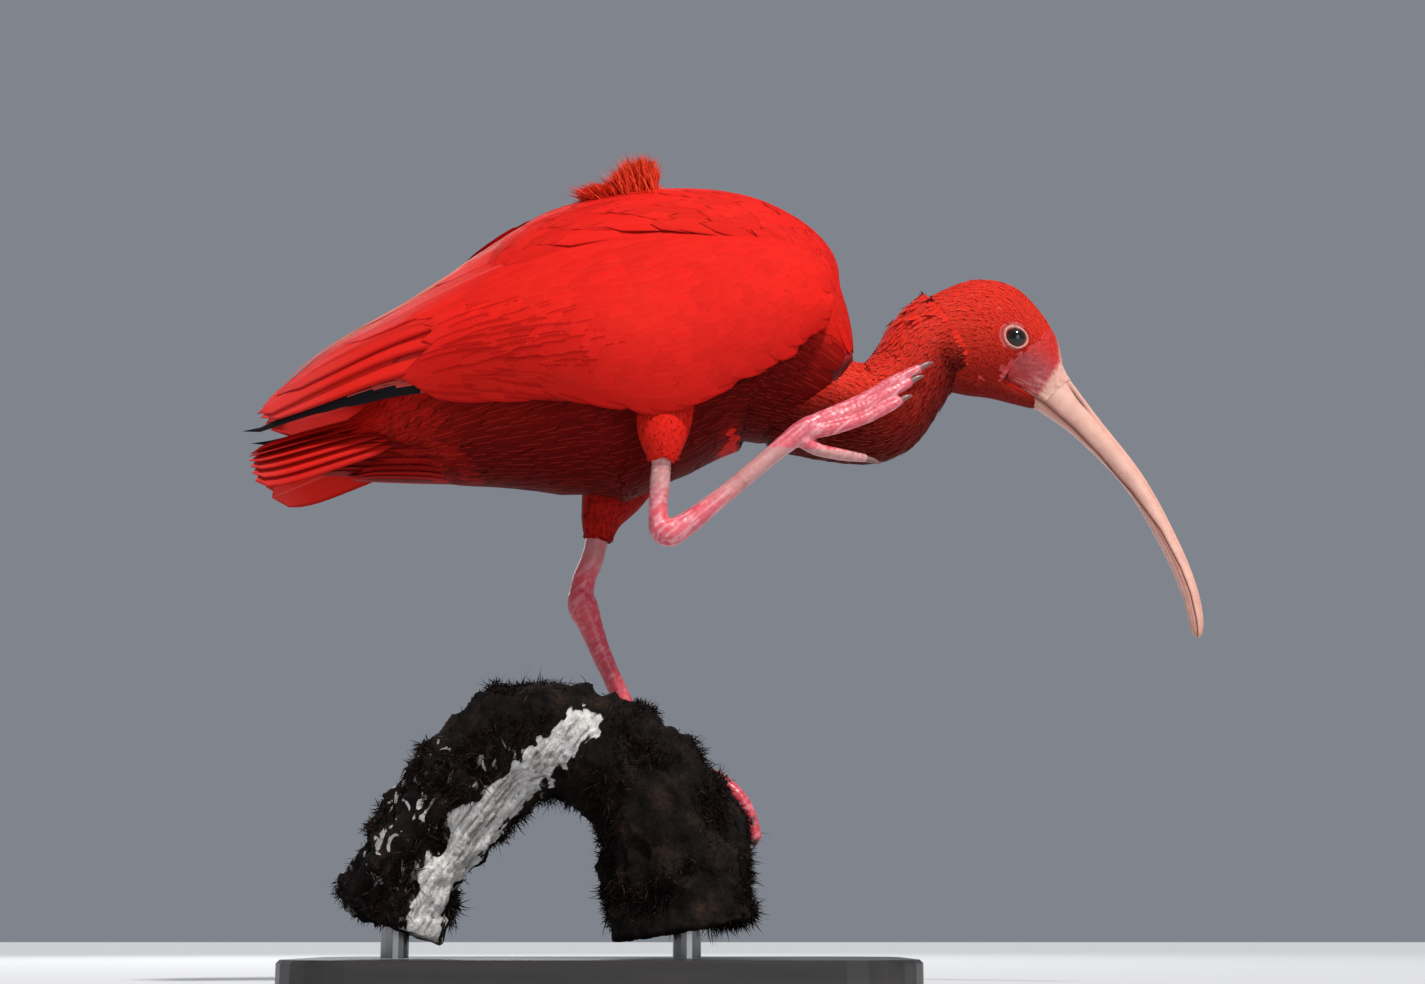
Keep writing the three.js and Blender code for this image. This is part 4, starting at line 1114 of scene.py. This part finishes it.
def toeForm(name, toe):  # rows of the toe and of its claw
    if name == "right":
        return legForm["liftedToes"][toe], legForm["liftedClaws"][toe]
    fromAngle, toAngle, yEnd, step, way = legForm["grip"][toe]
    rows = [ringPoint(fromAngle + (toAngle - fromAngle) * f, 16 + (yEnd - 16) * math.sin(f * 1.57),
                      3.5 * (1 - 0.34 * f), 1.2 * (1 - f)) for f in np.linspace(0, 1, 6)]
    claw = [ringPoint(toAngle + step * (i * 0.9 - 0.5), yEnd + way * i, radius, out)
            for i, (radius, out) in enumerate(((1.9, 0), (1.4, 0.4), (0.4, -1)))]
    return rows, claw


def alongLegs(co, paths):  # how far down its leg or toe each point is
    travel = np.zeros(len(co))
    best = np.full(len(co), 1e9)
    for rows in paths:
        path = along(rows, np.linspace(0, 1, 60))[:, :3]
        reach = np.concatenate([[0], np.cumsum(np.linalg.norm(np.diff(path, axis=0), axis=1))])
        d = np.linalg.norm(co[:, None] - path[None], axis=2)
        k = d.argmin(axis=1)
        near = d[np.arange(len(co)), k]
        take = near < best
        travel[take] = reach[k][take]
        best = np.minimum(best, near)
    return travel


def legSkin(name):
    toes = {toe: toeForm(name, toe) for toe in legForm["grip"]}
    legs = legForm["legs"][name]
    shapes = [loftShape(Loft(rows), 40, 24) for rows in legs]
    shapes += [loftShape(Loft(rows), 40, 20) for rows, _ in toes.values()]
    nodes = ["shank_" + name, "tarsus_" + name] + ["toe_" + name + "_" + toe for toe in toes]
    piece = fuse("leg_" + name, shapes, 0.75, materials["leg"], relax=3)
    co = coordinates(piece) / mm - birdOrigin
    travel = alongLegs(co, legs + [rows for rows, _ in toes.values()])
    scute = np.abs(((travel / legForm["scute"]) % 1.0) - 0.5) * 2
    groove = clamp((scute - 0.72) / 0.28)
    uneven = rough(co * 0.55)
    pushOut(piece, (-legForm["scuteDepth"] * groove + 0.10 * uneven + legForm["stout"][name]) * mm)
    pink, rose, grey, pale = (np.array(legColours[part]) for part in ("pink", "rose", "grey", "pale"))
    x, y, z = co.T
    mixer = clamp(0.5 + uneven * 1.3)[:, None]
    colour = rose * (0.75 - 0.3 * mixer) + pink * (0.25 + 0.3 * mixer)
    # painted highlights: long pale streaks along the legs and toes
    paintedHighlight = rough(np.stack([x * 0.12 - z * 0.1, y * 0.9, z * 0.5 - x * 0.42], axis=1))
    colour = blend(colour, pale, clamp(paintedHighlight * 2.6)[:, None] * 0.6)
    top = legs[0][0][2]
    upper = fade(z, top - 26, top - 14) * (z < top + 2)
    colour = blend(colour, grey, upper[:, None] * 0.7)
    colour = blend(colour, rose * 0.55, groove[:, None] * 0.22)
    # painted shade: the far leg is darkened
    paint(piece, "tint", colour * legColours["tint"][name])
    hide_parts(*nodes)
    for toe, (rows, clawRows) in toes.items():
        short = np.array(clawRows, float)
        short[:, :3] = short[0, :3] + (short[:, :3] - short[0, :3]) * legForm["clawShare"]
        short[:, 3] *= 0.88
        verts, faces = loftShape(Loft(short), 22, 16)
        claw = newPiece("nail_" + name + "_" + toe, toWorld(verts), faces, materials["claw"])
        paint(claw, "tint", np.array(legColours["claw"]))
        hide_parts("claw_" + name + "_" + toe)


for legName in sideSign:
    legSkin(legName)
print("legs done")


# Perch
# Colours run from the dark of each pattern to its light
barkLook = {
    "bark": [(0.32, (0.003, 0.002, 0.002)), (0.52, (0.010, 0.007, 0.006)), (0.64, (0.028, 0.016, 0.012)),
             (0.76, (0.07, 0.045, 0.036))],
    "wood": [(0.30, (0.12, 0.10, 0.095)), (0.42, (0.46, 0.44, 0.42)), (0.54, (0.76, 0.74, 0.72)),
             (0.72, (0.88, 0.86, 0.84))],
    "flakes": (0.62, 0.60, 0.58),
    "moss": [(0.0, (0.002, 0.001, 0.001)), (0.75, (0.012, 0.007, 0.006)), (1.0, (0.05, 0.030, 0.024))],
}


def barkMaterial():
    material, tree, bsdf = shader("Bark")
    coarse = texture(tree, "Noise", 70.0, Detail=8.0, Roughness=0.7)
    fine = texture(tree, "Noise", 420.0, Detail=6.0, Roughness=0.7)
    cracks = texture(tree, "Voronoi", 130.0)
    flakes = texture(tree, "Noise", 150.0, stretched(tree, (1.0, 1.0, 0.55)), Detail=2.5,
                     Distortion=1.2)
    grain = texture(tree, "Noise", 420.0, stretched(tree, (1.0, 1.0, 14.0), (0, 0.656, 0)),
                    Detail=5.0)
    dark = ramp(tree, coarse, barkLook["bark"])
    wood = ramp(tree, grain, barkLook["wood"])
    pale = attribute(tree, "pale")
    uneven = mathNode(tree, "SUBTRACT", grain, 0.5)
    torn = mathNode(tree, "ADD", pale, mathNode(tree, "MULTIPLY", uneven, 0.7))
    bare = ramp(tree, torn, [(0.46, (0, 0, 0)), (0.54, (1, 1, 1))])
    patches = ramp(tree, flakes, [(0.60, (0, 0, 0)), (0.625, (0.85, 0.85, 0.85))])
    spotted = mathNode(tree, "MULTIPLY", attribute(tree, "spotted"), patches)
    colour = mixColour(tree, mixColour(tree, dark, barkLook["flakes"], spotted), wood, bare)
    shade = ramp(tree, fine, [(0.25, (0.5, 0.5, 0.5)), (0.7, (1.15, 1.15, 1.15))])
    tree.links.new(mixColour(tree, colour, shade, 1.0, "MULTIPLY"), bsdf.inputs["Base Color"])
    dial(bsdf, Roughness=0.9, Specular_IOR_Level=0.12)
    first = bumpFrom(tree, cracks, 0.7, 0.002, None)
    second = bumpFrom(tree, coarse, 0.8, 0.004, None, first)
    third = bumpFrom(tree, grain, 0.5, 0.0008, None, second)
    bumpFrom(tree, fine, 0.6, 0.0008, bsdf, third)
    return material


def mossMaterial():
    material, tree, bsdf = shader("Moss")
    tone = attribute(tree, "tone")
    tree.links.new(ramp(tree, tone, barkLook["moss"]), bsdf.inputs["Base Color"])
    dial(bsdf, Roughness=0.95, Specular_IOR_Level=0.06)
    return material


# Arms as x, y, z and radius in mm; the bare wood follows a line of x and z
perchForm = {
    "arms": {
        "perch_stub": [
            (-26, -36, 12, 26), (-58, -36, 12, 24), (-82, -36, -10, 25), (-99, -36, -36, 24),
            (-111, -37, -66, 25),
        ],
        "perch_limb": [
            (-50, -36, 14, 22), (-26, -36, 9, 26), (-3, -35, -8, 28), (11, -34, -38, 31),
            (16, -34, -68, 32),
        ],
        "perch_branch": [
            (14, -34, -33, 29), (14, -5, -31, 30), (14, 16, -31, 30), (14, 34, -31, 30), (15, 66, -32, 28),
        ],
    },
    "bareLine": [(-27, 19), (-42, 4), (-55, -8), (-68, -20), (-84, -41), (-94, -68)],
    "hollow": [(-80, -26), (-86, -38)],
    "hole": (-86, -32),
    "holeDepth": 9.0,
    "relief": {"swell": 3.4, "ridge": 2.6, "lump": 0.8, "knob": 7.0},
    "mossStrands": 42000,
    "mossLength": (0.8, 3.4),
    "mossWidth": (0.2, 0.5),
}


def bareWood(p):
    x, y, z = p.T
    ragged = 1 + 0.5 * rough(np.stack([x * 0.30 + z * 0.16, y * 0.2, z * 0.05], axis=1))
    ridge = bell(nearLine(p, perchForm["bareLine"]) * ragged, 7.5)
    return (1.15 * ridge + 0.75 * bell(nearLine(p, perchForm["hollow"]), 9.0)) * (y < -38)


def knobs(q):
    return noise.voronoi(Vector(q * 0.055) + Vector((0, 0, 1)) * noise.noise(Vector(q * 0.05)))[0][0]


def perchBark():
    shapes = []
    for name, rows in perchForm["arms"].items():
        across = (1, 0, 0) if name == "perch_branch" else (0, 1, 0)
        shapes.append(loftShape(Loft(rows, across), 40, 40))
    piece = fuse("perch_bark", shapes, 1.5, materials["bark"], relax=8)
    co = coordinates(piece) / mm - birdOrigin
    x, y, z = co.T
    big = np.array([noise.fractal(Vector(q * 0.032), 0.9, 2.1, 4) for q in co])
    lumps = np.array([noise.cell(Vector(q * 0.05 + noise.noise(Vector(q * 0.06)) * 1.4)) for q in co])
    ridges = np.array([noise.ridged_multi_fractal(Vector(q), 0.9, 2.1, 5, 0.9, 1.6)
                       for q in co * (0.10, 0.10, 0.045)])
    pale = bareWood(co)
    splinter = rough(np.stack([x * 0.8 + z * 0.45, y * 0.5, z * 0.05], axis=1))
    holeX, holeZ = perchForm["hole"]
    hole = bell(np.hypot((x - holeX) * 1.25, (z - holeZ) * 0.75), 5.5) * (y < -38)
    grip = np.clip((np.abs(y - 16) - 20) / 8, 0.08, 1)  # smooth where the foot holds
    grip = np.where(y > -8, grip, 1.0)
    knobby = np.array([knobs(q) for q in co])
    relief = perchForm["relief"]
    push = (relief["swell"] * big + relief["ridge"] * (ridges - 1.1) + relief["lump"] * lumps
            + relief["knob"] * (0.48 - knobby)) * grip
    smooth = clamp(pale)
    push = push * (1 - 0.7 * smooth) + smooth * (splinter * 1.3 - 1.6) - perchForm["holeDepth"] * hole
    pale = pale * (1 - clamp(hole * 1.8))
    push = np.where(z < -64, push * 0.3, push)
    pushOut(piece, push * mm)
    value(piece, "pale", pale)
    leftArm = fade(x, -44, -54) * (y < -20) * fade(z, 18, 8)
    value(piece, "spotted", leftArm * clamp((big + 0.3) * 3))
    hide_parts("perch_stub", "perch_limb", "perch_branch")
    return piece, pale


def perchMoss(bark, pale):
    normals = vertexNormals(bark)
    co = coordinates(bark) / mm - birdOrigin
    _, y, z = co.T
    cover = rough(co * 0.045)
    footing = (y > -6) & (y < 40) & (z > -44)
    chance = np.clip((cover + 0.12) * 4.0, 0.06, 1) * (pale < 0.3) * ~footing * (z > -66)
    count = perchForm["mossStrands"]
    picks = rng.choice(len(co), count, p=chance / chance.sum())
    length = rng.uniform(*perchForm["mossLength"], count) * (0.5 + 1.3 * clamp(cover[picks] + 0.2))
    s = np.linspace(0, 1, 4)
    lean = unit(normals[picks] + rng.normal(0, 0.55, (count, 3)))
    bend = rng.normal(0, 0.9, (count, 3)) + np.array([0, 0, -0.5])
    centre = (co[picks][:, None] + lean[:, None] * (length[:, None] * s)[..., None]
              + bend[:, None] * (length[:, None] * s**2)[..., None] * 0.7)
    n = unit(np.cross(lean, rng.normal(0, 1, (count, 3))))
    wide = rng.uniform(*perchForm["mossWidth"], count)
    tufts = sheets(centre, np.repeat(n[:, None], 4, axis=1), wide, ragged=0.0, cols=2)
    featherPiece("perch_moss", [(tufts, tone(count, 0.0))], "moss")


materials["bark"] = barkMaterial()
materials["moss"] = mossMaterial()
perchMoss(*perchBark())
print("perch done")


# Stand
standLook = {
    "wood": [(0.3, (0.010, 0.009, 0.009)), (0.7, (0.030, 0.026, 0.024))],
    "steel": [(0.3, (0.30, 0.30, 0.31)), (0.7, (0.42, 0.42, 0.43))],
}


def standMaterials():
    wood, tree, bsdf = shader("StandWood")
    grain = texture(tree, "Noise", 60.0, stretched(tree, (0.12, 1.6, 1.6)), Detail=8.0)
    tree.links.new(ramp(tree, grain, standLook["wood"]), bsdf.inputs["Base Color"])
    dial(bsdf, Roughness=0.38, Coat_Weight=0.2)
    bumpFrom(tree, grain, 0.15, 0.0004, bsdf)
    steel, tree, bsdf = shader("StandSteel")
    brushed = texture(tree, "Noise", 300.0, stretched(tree, (1, 1, 0.03)), Detail=4.0)
    tree.links.new(ramp(tree, brushed, standLook["steel"]), bsdf.inputs["Base Color"])
    dial(bsdf, Metallic=1.0, Roughness=0.32)
    return wood, steel


plateWood, rodSteel = standMaterials()
standParts = {"stand_base": plateWood, "stand_rod_left": rodSteel, "stand_rod_right": rodSteel}
for node, material in standParts.items():
    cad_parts[node].material_slots[0].material = material


# Floor, light and camera
# Lamps: place, size and power
stageLook = {
    "floor": (0.62, 0.63, 0.65, 1), "sky": (0.60, 0.65, 0.74, 1), "skyPower": 0.36,
    "sun": {"power": 3.1, "spread": 6, "colour": (1.0, 0.97, 0.93), "way": (-0.28, 0.56, -0.90)},
    "lamps": {"fill": ((0.7, -1.4, 0.5), 0.9, 5.0), "rim": ((-0.4, 1.2, 0.9), 0.8, 8.0)},
    "lampAim": (0.05, 0, 0.25),
    "camera": {"target": (0.0469, 0.0, 0.2217), "distance": 1.0, "height": 0.022, "lens": 54.92},
}


def link(name, data):
    thing = bpy.data.objects.new(name, data)
    bpy.context.scene.collection.objects.link(thing)
    return thing


def aimed(way):
    return way.to_track_quat("-Z", "Y").to_euler()


def stage():
    bpy.ops.mesh.primitive_plane_add(size=8.0, location=(0, 2.0, 0))
    floor = bpy.context.object
    floor.name = "floor"
    material, _, bsdf = shader("FloorPaint")
    dial(bsdf, Base_Color=stageLook["floor"], Roughness=0.9)
    floor.data.materials.append(material)
    world = bpy.data.worlds.new("World")
    bpy.context.scene.world = world
    world.use_nodes = True
    sky = world.node_tree.nodes["Background"]
    sky.inputs[0].default_value = stageLook["sky"]
    sky.inputs[1].default_value = stageLook["skyPower"]
    light = stageLook["sun"]
    sun = link("key", bpy.data.lights.new("key", "SUN"))
    sun.data.energy = light["power"]
    sun.data.angle = math.radians(light["spread"])
    sun.data.color = light["colour"]
    sun.rotation_euler = aimed(Vector(light["way"]))
    for name, (place, size, power) in stageLook["lamps"].items():
        lamp = link(name, bpy.data.lights.new(name, "AREA"))
        lamp.data.size = size
        lamp.data.energy = power
        lamp.data.specular_factor = 0.15
        lamp.location = place
        lamp.rotation_euler = aimed(Vector(stageLook["lampAim"]) - Vector(place))
    view = stageLook["camera"]
    target = Vector(view["target"])
    rise = (target.z - view["height"]) / view["distance"]
    back = view["distance"] * math.sqrt(1 - rise**2)
    camera = link("camera", bpy.data.cameras.new("camera"))
    camera.location = (target.x, -back, view["height"])
    camera.rotation_euler = aimed(target - camera.location)
    camera.data.lens = view["lens"]
    camera.data.sensor_width = 36.0
    camera.data.clip_start = 0.01
    bpy.context.scene.camera = camera
    bpy.context.scene.view_settings.view_transform = "Standard"


stage()
print("stage done")
